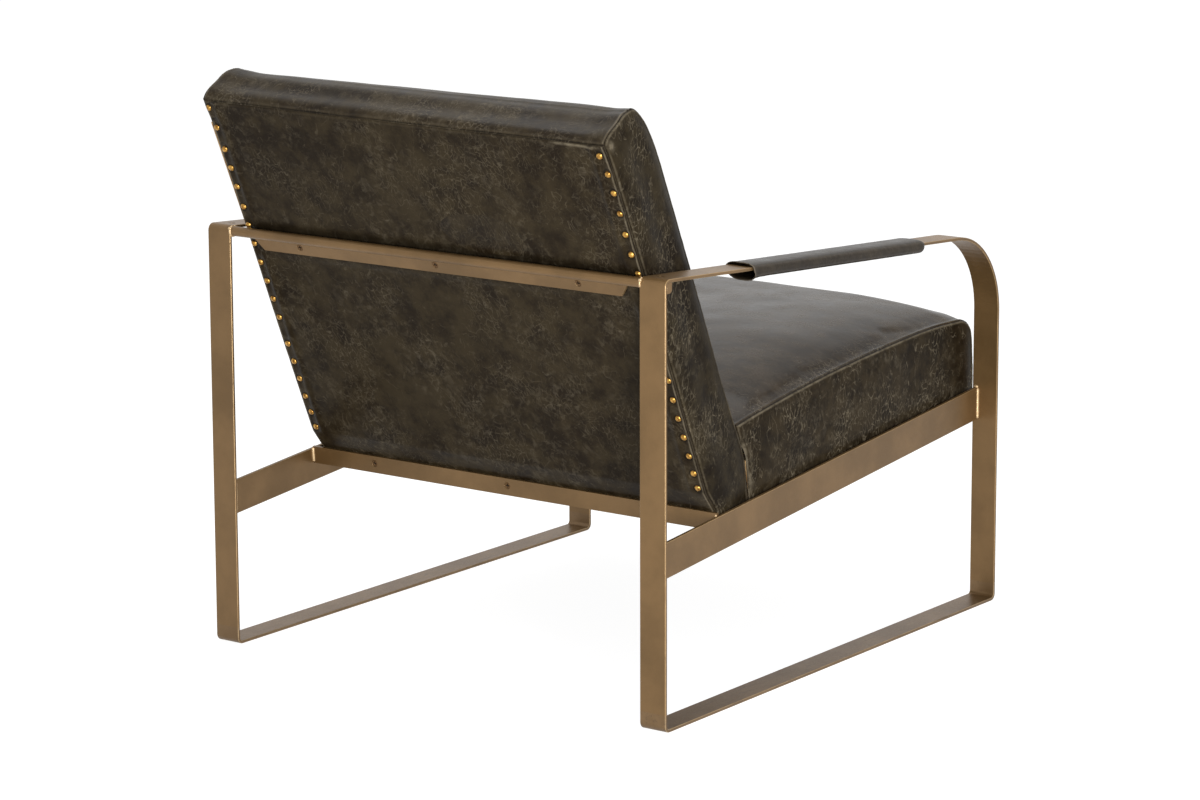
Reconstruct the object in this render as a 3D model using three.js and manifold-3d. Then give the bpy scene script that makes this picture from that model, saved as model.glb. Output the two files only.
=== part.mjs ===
// Occasional chair: two flat-bar steel side loops joined by cross bars, with leather-wrapped arms,
// a reclined upholstered back on a nailed rear panel and a crowned upholstered seat.
// Millimetres. +Z up, the sitter faces -Y, and the origin is on the floor under the middle of the chair.
import * as THREE from 'three';
import { mergeVertices } from 'three/addons/utils/BufferGeometryUtils.js';
import Module from 'manifold-3d';

const wasm = await Module();
wasm.setup();

// Side loops
const frame_width = 728;          // over the outer edges of the two loops
const frame_depth = 782;          // rear face of the rear legs to front face of the front legs
const arm_height = 560;           // top of the arm bar at the rear corner
const arm_fall = 48;              // how much lower the arm line is at the front
const bar_width = 38;
const bar_thickness = 4;
const edge_ease = 0.6;            // eased long edges of every flat bar
const corner_radius = 9;          // outside of the tight bends
const bend_radius = 115;          // outside of the wide front bend
const weld_stub = 14;             // straight end after a bend, up to the butt weld

// Cross bars
const rail_height = 45;
const rail_thickness = 5;
const rail_inset = 30;            // outer edge of the loop to outer face of the seat rail
const rail_rear_bottom = 176;
const rail_front_bottom = 250;
const angle_thickness = 4;
const angle_rise = 3;             // how far the rear angle stands above the rails
const angle_face = 23;
const rear_angle_shelf = 30;
const front_angle_shelf = 38;
const rear_angle_inset = 162.5;   // rear face of the rear legs to rear face of the rear angle
const front_angle_inset = 3;
const crossbar_diameter = 13;
const crossbar_drop = 8;          // top of the arm line at the leg to the middle of the bar
const plate_side_gap = 19;        // side of the back's top to the end of the plate
const plate_thickness = 4;
const plate_height = 22;
const plate_cut_length = 11;
const plate_cut_height = 15;
const corner_plate_thickness = 2.5;
const corner_plate_reach = 10.5;
const corner_plate_drop = 18;
const corner_plate_radius = 5;

// Screws
const screw_head_radius = 4.6;
const screw_head_height = 2.8;
const screw_shank_radius = 2.2;
const screw_length = 26;
const screw_tip = 5;
const screw_sink = 0.2;
const screw_spread_share = 0.75;  // outer screws, of the plate's half length
const arm_screw_place = 22;       // rear face of the rear leg to the screw in the arm
const arm_screw_offset = 3;       // towards the chair, from the middle of the bar
const screw_sides = 12;
const rear_screw_share = 0.42;    // of the rear angle's face, down from its top
const front_screw_edge = 8.5;     // front edge of the front angle to its screws

// Leather, clearances and cuts
const leather_thickness = 1.6;
const fit_gap = 0.3;
const overrun = 40;

// Back
const back_thickness = 95;
const back_length = 529.5;        // along the rear panel, bottom corner to top seam
const back_side_gap = 8;          // seat rail to the side of the back at its foot
const back_side_taper = 6;        // how much narrower each side is at the top
const back_bar_gap = 1.9;         // rear panel to the round crossbar
const back_foot_out = 4;          // foot of the rear panel behind the rear angle
const back_foot_sink = 1.4;       // and below its top
const back_crown = 9;
const back_front_lean = 6.5;      // how much further forward the front is at the shoulder than at the knee
const back_arch_rise = 18.5;      // top of the arch above the top rear seam
const back_dip = 4.5;             // middle of the arch below its ends
const back_shoulder_reach = 40;   // round front shoulder of the top
const back_shoulder_drop = 81;
const back_tuck_start = 31;       // where the rear panel starts to turn in over the rear angle
const back_rim = 12;              // cover turned in under the edges of the rear panel
const back_knee = 20;             // where the front face leaves the slope of the foot
const back_foot_draw = 1.5;       // how much the foot's front draws in below the knee

// Seat
const seat_side_gap = 7;
const seat_overhang = 11;         // in front of the front legs
const seat_crest_height = 153.5;  // top seam above the bottom of the rails
const seat_crest_share = 0.532;   // of the seat's depth, from the front
const seat_rear_drop = 10;
const seat_front_drop = 9;
const seat_shoulder_reach = 60;   // round top of the front face
const seat_shoulder_drop = 40;
const seat_front_draw = 3;        // how much the front face draws in towards its foot
const seat_crown = 24;
const seat_rear_crown_share = 0.4;
const seat_front_crown_share = 0.25;
const side_puff = 2;
const side_puff_reach = 10;       // from the side seam to where the side panel is full

// Inner frames
const board_thickness = 22;
const seat_board_height = 62;
const block_side = 60;
const strap_width = 50;
const strap_thickness = 1.2;
const strap_overlap = 14;
const dust_cover_thickness = 0.8;
const dust_cover_margin = 8;
const back_rail_width = 50;
const back_frame_top_drop = 24;   // top rail below the top rear seam
const stile_foot_depth = 60;

// Arm sleeves
const sleeve_rear_gap = 185;      // rear face of the rear leg to the rear of the sleeve
const sleeve_front_gap = 199;
const sleeve_width = 44;
const sleeve_height = 18.6;
const sleeve_hang = 3;            // how much lower than the bar the sleeve hangs
const sleeve_leather = 1.4;
const sleeve_corner = 7;

// Facets
const tight_bend_steps = 6;
const wide_bend_steps = 18;
const round_sides = 20;
const arch_steps = 5;
const shoulder_steps = 8;
const panel_steps = 5;
const seat_top_steps = 9;
const sleeve_corner_steps = 3;
const station_shares = [0, 0.32, 0.58, 0.76, 0.88, 0.95, 1];
const flatness = 8;               // power of the swelling across a cushion: higher is flatter in the middle

const half_depth = frame_depth / 2;
const half_width = frame_width / 2;
const arm_angle = Math.atan2(arm_fall, frame_depth);
const quarter = Math.PI / 2;
const half_turn = Math.PI;
const leg_gap = frame_width - 2 * bar_width;

function finish(color, roughness, metalness) {
  return new THREE.MeshStandardMaterial({ color, roughness, metalness });
}
const steel_paint = finish(0x86704f, 0.42, 0.55);
const leather = finish(0x3b342a, 0.5, 0);
const timber = finish(0xb78f5f, 0.8, 0);
const webbing = finish(0x4a4238, 0.9, 0);
const foam = finish(0xe6dbb9, 0.95, 0);
const lining = finish(0x1d1b19, 0.95, 0);
const screw_finish = finish(0x1a1611, 0.35, 0.8);

// Outlines are lists of Vector2 in the plane of depth (y) and height (z).
function point(y, z) {
  return new THREE.Vector2(y, z);
}

function oval(center, reach, rise, from, to, steps) {
  return Array.from({ length: steps + 1 }, (_, i) => {
    const angle = from + ((to - from) * i) / steps;
    return point(center.x + reach * Math.cos(angle), center.y + rise * Math.sin(angle));
  });
}

function arc(center, radius, from, to, steps) {
  return oval(center, radius, radius, from, to, steps);
}

// Turns an outline in (y, z) into a solid that runs across the chair from x0 to x1.
function across(outline, x0, x1, ease = 0) {
  const geometry = new THREE.ExtrudeGeometry(new THREE.Shape(outline), {
    depth: x1 - x0 - 2 * ease,
    bevelEnabled: ease > 0,
    bevelThickness: ease,
    bevelSize: ease,
    bevelOffset: -ease,
    bevelSegments: 1,
  });
  const turn = new THREE.Matrix4().makeBasis(
    new THREE.Vector3(0, 1, 0), new THREE.Vector3(0, 0, 1), new THREE.Vector3(1, 0, 0));
  return geometry.applyMatrix4(turn).translate(x0 + ease, 0, 0);
}

function box(x0, x1, y0, y1, z0, z1) {
  const geometry = new THREE.BoxGeometry(x1 - x0, y1 - y0, z1 - z0);
  return geometry.translate((x0 + x1) / 2, (y0 + y1) / 2, (z0 + z1) / 2);
}

// Booleans
function toSolid(geometry) {
  const bare = geometry.clone();
  bare.deleteAttribute('normal');
  bare.deleteAttribute('uv');
  const merged = mergeVertices(bare);
  return new wasm.Manifold(new wasm.Mesh({
    numProp: 3,
    vertProperties: Float32Array.from(merged.attributes.position.array),
    triVerts: Uint32Array.from(merged.index.array),
  }));
}

function toGeometry(solid) {
  const mesh = solid.getMesh();
  const geometry = new THREE.BufferGeometry();
  geometry.setAttribute('position', new THREE.BufferAttribute(Float32Array.from(mesh.vertProperties), 3));
  geometry.setIndex(new THREE.BufferAttribute(Uint32Array.from(mesh.triVerts), 1));
  geometry.computeVertexNormals();
  return geometry;
}

function cut(geometry, ...tools) {
  return toGeometry(tools.reduce((solid, tool) => solid.subtract(toSolid(tool)), toSolid(geometry)));
}

function addMesh(group, name, geometry, material) {
  const mesh = new THREE.Mesh(geometry, material);
  mesh.name = name;
  group.add(mesh);
  return mesh;
}

// The two loops have the same four bars each, handed by side: -1 is the sitter's right.
const sides = [['right', -1], ['left', 1]];

function barSpan(side) {
  const inner = half_width - bar_width;
  return side < 0 ? [-half_width, -inner] : [inner, half_width];
}

const runner_stub_top = corner_radius + weld_stub;

function runnerOutline() {
  const inner_radius = corner_radius - bar_thickness;
  const rear = point(half_depth - corner_radius, corner_radius);
  const front = point(-rear.x, corner_radius);
  return [
    point(-half_depth, runner_stub_top),
    ...arc(front, corner_radius, half_turn, half_turn + quarter, tight_bend_steps),
    ...arc(rear, corner_radius, -quarter, 0, tight_bend_steps),
    point(half_depth, runner_stub_top),
    point(half_depth - bar_thickness, runner_stub_top),
    ...arc(rear, inner_radius, 0, -quarter, tight_bend_steps),
    ...arc(front, inner_radius, half_turn + quarter, half_turn, tight_bend_steps),
    point(-half_depth + bar_thickness, runner_stub_top),
  ];
}

// Height of the middle of a bend of this radius that touches the sloped arm line at depth y.
function bendHeight(y, radius) {
  return arm_height - (radius + (half_depth - y) * Math.sin(arm_angle)) / Math.cos(arm_angle);
}

const rear_bend = point(half_depth - corner_radius, bendHeight(half_depth - corner_radius, corner_radius));
const front_bend = point(-half_depth + bend_radius, bendHeight(-half_depth + bend_radius, bend_radius));
const arm_rear_end = rear_bend.y - weld_stub;
const arm_front_end = front_bend.y - weld_stub;

function armOutline() {
  const top = quarter + arm_angle;
  return [
    point(half_depth, arm_rear_end),
    ...arc(rear_bend, corner_radius, 0, top, tight_bend_steps),
    ...arc(front_bend, bend_radius, top, half_turn, wide_bend_steps),
    point(-half_depth, arm_front_end),
    point(-half_depth + bar_thickness, arm_front_end),
    ...arc(front_bend, bend_radius - bar_thickness, half_turn, top, wide_bend_steps),
    ...arc(rear_bend, corner_radius - bar_thickness, top, 0, tight_bend_steps),
    point(half_depth - bar_thickness, arm_rear_end),
  ];
}

function legOutline(rear_face, top) {
  return [
    point(rear_face - bar_thickness, runner_stub_top),
    point(rear_face, runner_stub_top),
    point(rear_face, top),
    point(rear_face - bar_thickness, top),
  ];
}

// Top of the sloped arm bar at depth y.
function armTop(y) {
  return arm_height - (half_depth - y) * Math.tan(arm_angle);
}

// A short screw set flush into the top of each arm near its rear corner.
function armScrew(side, grow) {
  const y = half_depth - arm_screw_place;
  const x = side * (half_width - bar_width / 2 - arm_screw_offset);
  const length = bar_thickness - screw_sink;
  return placed(screwGeometry(grow, length, 0), arm_angle, x, y, armTop(y) - screw_sink);
}

function addLoops(group) {
  const front_face = -half_depth + bar_thickness;
  for (const [hand, side] of sides) {
    const [x0, x1] = barSpan(side);
    const bar = (outline) => across(outline, x0, x1, edge_ease);
    addMesh(group, `floor_runner_${hand}`, bar(runnerOutline()), steel_paint);
    addMesh(group, `rear_leg_${hand}`, bar(legOutline(half_depth, arm_rear_end)), steel_paint);
    addMesh(group, `front_leg_${hand}`, bar(legOutline(front_face, arm_front_end)), steel_paint);
    addMesh(group, `arm_bar_${hand}`, cut(bar(armOutline()), armScrew(side, fit_gap)), steel_paint);
    addMesh(group, `arm_screw_${hand}`, armScrew(side), screw_finish);
  }
}

// Small gusset plate in each rear top corner, flush with the outer edge of the loop.
function addCornerPlates(group) {
  const bend = corner_radius - bar_thickness - fit_gap;
  const sloped = arc(rear_bend, bend, 0, quarter + arm_angle, tight_bend_steps);
  const last = sloped[sloped.length - 1];
  const low = arm_height - corner_plate_drop;
  const front = half_depth - bar_thickness - corner_plate_reach;
  const round = point(front + corner_plate_radius, low + corner_plate_radius);
  const outline = [
    point(rear_bend.x + bend, low),
    ...sloped,
    point(front, last.y - (last.x - front) * Math.tan(arm_angle)),
    ...arc(round, corner_plate_radius, half_turn, half_turn + quarter, tight_bend_steps),
  ];
  for (const [hand, side] of sides) {
    const inner = half_width - edge_ease - corner_plate_thickness;
    const [x0, x1] = side < 0 ? [edge_ease - half_width, -inner] : [inner, half_width - edge_ease];
    addMesh(group, `corner_plate_${hand}`, across(outline, x0, x1), steel_paint);
  }
}

// Seat rails slope down to the rear between the legs. The seat frame group lies on this slope.
const rail_inner_half = half_width - rail_inset - rail_thickness;
const rail_run = frame_depth - 2 * bar_thickness;
const rail_angle = Math.atan2(rail_front_bottom - rail_rear_bottom, rail_run);
const rail_middle = (rail_front_bottom + rail_rear_bottom) / 2;
const rail_square_height = rail_height * Math.cos(rail_angle);

function addSeatRails(group) {
  const end = half_depth - bar_thickness;
  const outline = [
    point(-end, rail_front_bottom),
    point(end, rail_rear_bottom),
    point(end, rail_rear_bottom + rail_height),
    point(-end, rail_front_bottom + rail_height),
  ];
  for (const [hand, side] of sides) {
    const outer = half_width - rail_inset;
    const [x0, x1] = side < 0 ? [-outer, -rail_inner_half] : [rail_inner_half, outer];
    addMesh(group, `seat_rail_${hand}`, across(outline, x0, x1, edge_ease), steel_paint);
  }
}

// From the chair's own (y, z) to the sloped seat's (y, z), and the other way.
function toSeat(p) {
  const y = p.x;
  const z = p.y - rail_middle;
  const cosine = Math.cos(rail_angle);
  const sine = Math.sin(rail_angle);
  return point(y * cosine - z * sine, y * sine + z * cosine);
}

function fromSeat(p) {
  const y = p.x * Math.cos(rail_angle) + p.y * Math.sin(rail_angle);
  return point(y, rail_middle - p.x * Math.sin(rail_angle) + p.y * Math.cos(rail_angle));
}

// A countersunk screw along Z with its head's face at z = 0 and its tip below.
// Grown by a clearance, it is the cutter of its hole, open above the head.
function screwGeometry(grow = 0, length = screw_length, tip = screw_tip) {
  const above = grow > 0 ? [point(0, overrun), point(screw_head_radius + grow, overrun)] : [point(0, 0)];
  const end = -length - grow;
  const profile = [
    ...above,
    point(screw_head_radius + grow, -grow),
    point(screw_shank_radius + grow, -screw_head_height - grow),
    point(screw_shank_radius + grow, end + tip),
    point(0, end),
  ];
  return new THREE.LatheGeometry(profile.reverse(), screw_sides).rotateX(quarter);
}

// Places a screw, or its cutter, with its head's face at (x, y, z), turned about X from pointing down.
function placed(geometry, turn_x, x, y, z) {
  return geometry.rotateX(turn_x).translate(x, y, z);
}

const screw_names = ['right', 'middle', 'left'];
const back_half_width_low = rail_inner_half - back_side_gap;
const back_half_width_high = back_half_width_low - back_side_taper;
const plate_half_length = back_half_width_high - plate_side_gap;
const screw_spread = plate_half_length * screw_spread_share;
const screw_places = [-screw_spread, 0, screw_spread];

// Rear angle: upright face at the rear, shelf under the back's foot. Front angle: shelf under the seat board.
const rear_angle_back = half_depth - rear_angle_inset;
const front_angle_front = front_angle_inset - half_depth;
const rear_angle_top = rail_square_height + angle_rise;
const rear_angle_bottom = rear_angle_top - angle_face;
const shelf_top = rear_angle_bottom + angle_thickness;
const base_height = shelf_top + fit_gap;
const rear_angle_front = rear_angle_back - angle_thickness;
const rear_screw_height = rear_angle_top - angle_face * rear_screw_share;
const front_screw_place = front_angle_front + front_screw_edge;

function rearScrews(grow) {
  return screw_places.map((x) =>
    placed(screwGeometry(grow), -quarter, x, rear_angle_back - screw_sink, rear_screw_height));
}

function frontScrews(grow) {
  return screw_places.map((x) =>
    placed(screwGeometry(grow), half_turn, x, front_screw_place, rear_angle_bottom + screw_sink));
}

function addAngles(group) {
  const reach = rail_inner_half - fit_gap;
  const rear = [
    point(rear_angle_back - rear_angle_shelf, rear_angle_bottom),
    point(rear_angle_back, rear_angle_bottom),
    point(rear_angle_back, rear_angle_top),
    point(rear_angle_front, rear_angle_top),
    point(rear_angle_front, shelf_top),
    point(rear_angle_back - rear_angle_shelf, shelf_top),
  ];
  addMesh(group, 'rear_cross_angle', cut(across(rear, -reach, reach), ...rearScrews(fit_gap)), steel_paint);
  const web = front_angle_front + front_angle_shelf;
  const web_bottom = shelf_top - angle_face;
  const front = [
    point(front_angle_front, rear_angle_bottom),
    point(web - angle_thickness, rear_angle_bottom),
    point(web - angle_thickness, web_bottom),
    point(web, web_bottom),
    point(web, shelf_top),
    point(front_angle_front, shelf_top),
  ];
  const front_angle = cut(across(front, -reach, reach), ...frontScrews(fit_gap));
  addMesh(group, 'front_cross_angle', front_angle, steel_paint);
  rearScrews().forEach((geometry, i) =>
    addMesh(group, `rear_angle_screw_${screw_names[i]}`, geometry, screw_finish));
  frontScrews().forEach((geometry, i) =>
    addMesh(group, `front_angle_screw_${screw_names[i]}`, geometry, screw_finish));
}

// Round bar between the rear legs, just under the arms.
const bar_middle = point(half_depth - crossbar_diameter / 2, arm_height - crossbar_drop);

function addCrossbar(group) {
  const radius = crossbar_diameter / 2;
  const geometry = new THREE.CylinderGeometry(radius, radius, leg_gap, round_sides);
  geometry.rotateZ(quarter).translate(0, bar_middle.x, bar_middle.y);
  addMesh(group, 'back_crossbar', geometry, steel_paint);
}

// The back leans in its own group: local y points out of the rear panel, local z runs up it.
// Its foot stands by the rear angle, and its rear panel passes just in front of the round crossbar.
const back_origin = fromSeat(point(rear_angle_back + back_foot_out, rear_angle_top - back_foot_sink));
const bar_reach = bar_middle.clone().sub(back_origin);
const bar_clearance = crossbar_diameter / 2 + back_bar_gap;
const recline = Math.atan2(bar_reach.x, bar_reach.y) - Math.asin(bar_clearance / bar_reach.length());
const back_below_bar = Math.sqrt(bar_reach.lengthSq() - bar_clearance ** 2);

function toBack(p) {
  const y = p.x - back_origin.x;
  const z = p.y - back_origin.y;
  const cosine = Math.cos(recline);
  const sine = Math.sin(recline);
  return point(y * cosine - z * sine, y * sine + z * cosine);
}

function fromBack(p) {
  const y = back_origin.x + p.x * Math.cos(recline) + p.y * Math.sin(recline);
  return point(y, back_origin.y - p.x * Math.sin(recline) + p.y * Math.cos(recline));
}

function seatPointInBack(y, z) {
  return toBack(fromSeat(point(y, z)));
}

// Plate under the crossbar, flat on the rear panel, with cut lower corners and three countersunk holes.
const plate_rear = fit_gap + plate_thickness;
const bar_half_chord = Math.sqrt((crossbar_diameter / 2) ** 2 - (bar_clearance - plate_rear) ** 2);
const plate_top = back_below_bar - bar_half_chord - fit_gap;
const plate_middle = plate_top - plate_height / 2;

function plateScrews(grow) {
  return screw_places.map((x) =>
    placed(screwGeometry(grow), -quarter, x, plate_rear - screw_sink, plate_middle));
}

function addPlate(group) {
  const low = plate_top - plate_height;
  const corner = low + plate_cut_height;
  const inner = plate_half_length - plate_cut_length;
  const shape = new THREE.Shape([
    point(-inner, low),
    point(inner, low),
    point(plate_half_length, corner),
    point(plate_half_length, plate_top),
    point(-plate_half_length, plate_top),
    point(-plate_half_length, corner),
  ]);
  const geometry = new THREE.ExtrudeGeometry(shape, { depth: plate_thickness, bevelEnabled: false });
  geometry.rotateX(quarter).translate(0, plate_rear, 0);
  addMesh(group, 'back_mounting_plate', cut(geometry, ...plateScrews(fit_gap)), steel_paint);
  plateScrews().forEach((screw, i) =>
    addMesh(group, `back_plate_screw_${screw_names[i]}`, screw, screw_finish));
}

// Soft forms are lofts across the chair of one side outline, swollen between their side seams.
function outwardNormals(outline) {
  return outline.map((_, i) => {
    const before = outline[(i + outline.length - 1) % outline.length];
    const after = outline[(i + 1) % outline.length];
    const run = after.clone().sub(before).normalize();
    return point(run.y, -run.x);
  });
}

function insetOutline(outline, distance) {
  return outline.map((corner, i) => {
    const before = outline[(i + outline.length - 1) % outline.length];
    const after = outline[(i + 1) % outline.length];
    const a = corner.clone().sub(before).normalize();
    const b = after.clone().sub(corner).normalize();
    const normal = point(a.y + b.y, -a.x - b.x).normalize();
    const stretch = 1 / Math.max(0.5, normal.dot(point(a.y, -a.x)));
    return corner.clone().addScaledVector(normal, -distance * stretch);
  });
}

function stations() {
  const positive = station_shares.slice(1);
  return [...positive.slice().reverse().map((share) => -share), ...station_shares];
}

// outline is counter-clockwise in (y, z); swell gives each point's swelling there, halfWidth its side seam.
function cushion({ outline, swell, halfWidth, inset = 0, puff = 0 }) {
  const base = inset > 0 ? insetOutline(outline, inset) : outline;
  const normals = outwardNormals(outline);
  const drawn = insetOutline(base, side_puff_reach);
  const loops = stations().map((share) => base.map((p, i) => {
    const moved = p.clone().addScaledVector(swell(outline[i], normals[i]), 1 - Math.abs(share) ** flatness);
    return new THREE.Vector3(share * (halfWidth(outline[i]) - inset), moved.x, moved.y);
  }));
  const puffed = (side) => drawn.map((p) =>
    new THREE.Vector3(side * (halfWidth(p) - inset + puff), p.x, p.y));
  return loftGeometry([puffed(-1), ...loops, puffed(1)]);
}

function loftGeometry(loops) {
  const count = loops[0].length;
  const points = loops.flat();
  const centerOf = (loop) => loop.reduce((sum, p) => sum.add(p), new THREE.Vector3()).divideScalar(count);
  const first = points.length;
  points.push(centerOf(loops[0]), centerOf(loops[loops.length - 1]));
  const index = [];
  for (let j = 0; j < loops.length - 1; j += 1) {
    for (let i = 0; i < count; i += 1) {
      const next = (i + 1) % count;
      const [a, b, c, d] = [j * count + i, j * count + next, (j + 1) * count + next, (j + 1) * count + i];
      index.push(a, b, c, a, c, d);
    }
  }
  const last = (loops.length - 1) * count;
  for (let i = 0; i < count; i += 1) {
    const next = (i + 1) % count;
    index.push(first, next, i);
    index.push(first + 1, last + i, last + next);
  }
  const geometry = new THREE.BufferGeometry().setFromPoints(points);
  geometry.setIndex(index);
  geometry.computeVertexNormals();
  return geometry;
}

function smooth(value) {
  const t = THREE.MathUtils.clamp(value, 0, 1);
  return t * t * (3 - 2 * t);
}

function line(from, to, steps) {
  return Array.from({ length: steps }, (_, i) => from.clone().lerp(to, i / steps));
}

// Front edge of the back's side at height z up the back: a straight line from the knee to the shoulder.
const back_shoulder_height = back_length + back_arch_rise - back_shoulder_drop;

function backFront(z) {
  const share = (z - back_knee) / (back_shoulder_height - back_knee);
  return point(-back_thickness - back_front_lean * share, z);
}

// Rear edge of the back, from its top seam down to the foot: straight, then tucked in over the rear angle.
const foot_rear = rear_angle_front - 2 * fit_gap;
const foot_bottom = base_height;
const back_foot_front = toSeat(fromBack(backFront(back_knee))).x - back_foot_draw;

function backRearPath() {
  return [
    point(0, back_length),
    point(0, back_tuck_start),
    seatPointInBack(foot_rear, rear_angle_top),
    seatPointInBack(foot_rear, foot_bottom),
  ];
}

// Shifts a path that runs down the rear of the back forwards by a distance.
function shiftedForward(path, distance) {
  return path.map((p, i) => {
    const before = path[Math.max(0, i - 1)];
    const after = path[Math.min(path.length - 1, i + 1)];
    const a = (i > 0 ? p.clone().sub(before) : after.clone().sub(p)).normalize();
    const b = (i < path.length - 1 ? after.clone().sub(p) : p.clone().sub(before)).normalize();
    const normal = point(a.y + b.y, -a.x - b.x).normalize();
    return p.clone().addScaledVector(normal, distance / normal.dot(point(a.y, -a.x)));
  });
}

// Side outline of the back, counter-clockwise seen from +X.
function backOutline() {
  const rear = shiftedForward(backRearPath(), leather_thickness + fit_gap);
  const rear_top = rear[0];
  const front = backFront(back_shoulder_height);
  const crest = point(front.x + back_shoulder_reach, back_length + back_arch_rise);
  const shoulder = point(crest.x, back_shoulder_height);
  const arch = new THREE.QuadraticBezierCurve(
    rear_top, point(rear_top.x - back_arch_rise, crest.y), crest).getPoints(arch_steps).slice(0, -1);
  const front_foot = seatPointInBack(back_foot_front, foot_bottom);
  const knee = backFront(back_knee);
  return [
    ...arch,
    ...oval(shoulder, back_shoulder_reach, back_shoulder_drop, quarter, half_turn, shoulder_steps),
    ...line(front, knee, panel_steps).slice(1),
    knee,
    front_foot,
    ...rear.slice(1).reverse(),
  ];
}

function backHalfWidth(p) {
  return THREE.MathUtils.lerp(back_half_width_low, back_half_width_high, smooth(p.y / back_length));
}

// The front swells out above the seat, and the arch dips a little between its ends.
function backSwell(p, normal) {
  const clear_of_seat = smooth((p.y - 2 * back_thickness) / back_thickness);
  const forward = Math.max(0, -normal.x) ** 2;
  const upward = Math.max(0, normal.y) ** 2;
  return normal.clone().multiplyScalar(clear_of_seat * (back_crown * forward - back_dip * upward));
}

const back_shape = { outline: backOutline(), swell: backSwell, halfWidth: backHalfWidth };
const frame_rear = 2 * (leather_thickness + fit_gap);
const frame_front = frame_rear + board_thickness;
const frame_top = back_length - back_frame_top_drop;
const stile_outer = back_half_width_high - leather_thickness - 2 * fit_gap;
const stile_inner = stile_outer - board_thickness;
const rail_reach = stile_inner - fit_gap;
const foot_inner_bottom = foot_bottom + leather_thickness + fit_gap;
const bottom_rail_rear = foot_rear - frame_rear;
const bottom_rail_top = foot_inner_bottom + back_rail_width / 2;

function rearScrewsInBack(grow) {
  return rearScrews(grow).map((geometry) => {
    const away = fromBack(point(0, 0));
    geometry.rotateX(-rail_angle).translate(0, 0, rail_middle);
    return geometry.translate(0, -away.x, -away.y).rotateX(recline);
  });
}

// The cover is open behind: the rear panel lies inside its rim, from the top seam down to the foot.
function addBackCover(group) {
  const outer = cushion({ ...back_shape, puff: side_puff });
  const inner = cushion({ ...back_shape, inset: leather_thickness });
  const path = backRearPath();
  path[0].y -= back_rim;
  path[path.length - 1].y += back_rim;
  const before = shiftedForward(path, 3 * leather_thickness);
  const behind = path.map((p) => point(p.x + overrun, p.y)).reverse();
  const reach = back_half_width_high - back_rim;
  const opening = across([...before, ...behind], -reach, reach);
  addMesh(group, 'back_cover', cut(outer, inner, opening, ...rearScrewsInBack(fit_gap)), leather);
}

function addRearPanel(group) {
  const path = backRearPath();
  const front = shiftedForward(path, leather_thickness);
  const reach = back_half_width_high - leather_thickness;
  const outline = [...path.slice().reverse(), ...front];
  const cutters = [...plateScrews(fit_gap), ...rearScrewsInBack(fit_gap)];
  addMesh(group, 'back_rear_panel', cut(across(outline, -reach, reach), ...cutters), leather);
}

function addBackFoam(group) {
  const body = cushion({ ...back_shape, inset: leather_thickness + fit_gap });
  const reach = back_half_width_low + overrun;
  const clear = 2 * fit_gap;
  const low = foot_bottom - overrun;
  const zone = [
    seatPointInBack(foot_rear + overrun, low),
    point(overrun, frame_top + fit_gap),
    point(-frame_front - strap_thickness - clear, frame_top + fit_gap),
    point(-frame_front - strap_thickness - clear, stile_foot_depth + board_thickness + fit_gap),
    point(-frame_front - board_thickness - clear, stile_foot_depth - board_thickness),
    seatPointInBack(foot_rear - stile_foot_depth - clear, foot_inner_bottom),
    seatPointInBack(foot_rear - stile_foot_depth - clear, low),
  ];
  addMesh(group, 'back_foam', cut(body, across(zone, -reach, reach)), foam);
}

function addStiles(group) {
  const path = shiftedForward(backRearPath(), frame_rear);
  const outline = [
    point(-frame_rear, frame_top),
    point(-frame_front, frame_top),
    point(-frame_front, stile_foot_depth + board_thickness),
    point(-frame_front - board_thickness, stile_foot_depth - board_thickness),
    seatPointInBack(foot_rear - stile_foot_depth, foot_inner_bottom),
    seatPointInBack(bottom_rail_rear, foot_inner_bottom),
    path[2],
    path[1],
  ];
  for (const [hand, side] of sides) {
    const [x0, x1] = side < 0 ? [-stile_outer, -stile_inner] : [stile_inner, stile_outer];
    addMesh(group, `back_stile_${hand}`, across(outline, x0, x1), timber);
  }
}

function addBackRails(group) {
  const rails = [
    ['top', frame_top - back_rail_width, frame_top],
    ['middle', plate_middle - back_rail_width / 2, plate_middle + back_rail_width / 2],
  ];
  for (const [name, low, high] of rails) {
    const board = box(-rail_reach, rail_reach, -frame_front, -frame_rear, low, high);
    const geometry = name === 'middle' ? cut(board, ...plateScrews(fit_gap)) : board;
    addMesh(group, `back_${name}_rail`, geometry, timber);
  }
}

function addBottomRail(group) {
  const board = box(-rail_reach, rail_reach,
    bottom_rail_rear - board_thickness, bottom_rail_rear, foot_inner_bottom, bottom_rail_top);
  addMesh(group, 'back_bottom_rail', cut(board, ...rearScrews(fit_gap)), timber);
}

function addBackStraps(group) {
  const low = stile_foot_depth + 2 * board_thickness;
  const high = frame_top - strap_width;
  const front = -frame_front - fit_gap;
  const count = 4;
  for (let i = 0; i < count; i += 1) {
    const z = low + ((high - low) * i) / (count - 1);
    const strap = box(-stile_inner - strap_overlap, stile_inner + strap_overlap,
      front - strap_thickness, front, z, z + strap_width);
    addMesh(group, `back_strap_${i + 1}`, strap, webbing);
  }
}

// Side outline of the seat on the slope of the rails, counter-clockwise seen from +X.
const seat_half_width = rail_inner_half - seat_side_gap;
const seat_front = -half_depth - seat_overhang;
const seat_crest_place = THREE.MathUtils.lerp(seat_front, back_foot_front, seat_crest_share);

function seatTop(y) {
  const rear_run = back_foot_front - seat_crest_place;
  const front_run = seat_crest_place - seat_front;
  const away = y - seat_crest_place;
  const drop = away > 0 ? seat_rear_drop * (away / rear_run) ** 2 : seat_front_drop * (away / front_run) ** 2;
  return seat_crest_height - drop;
}

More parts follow.
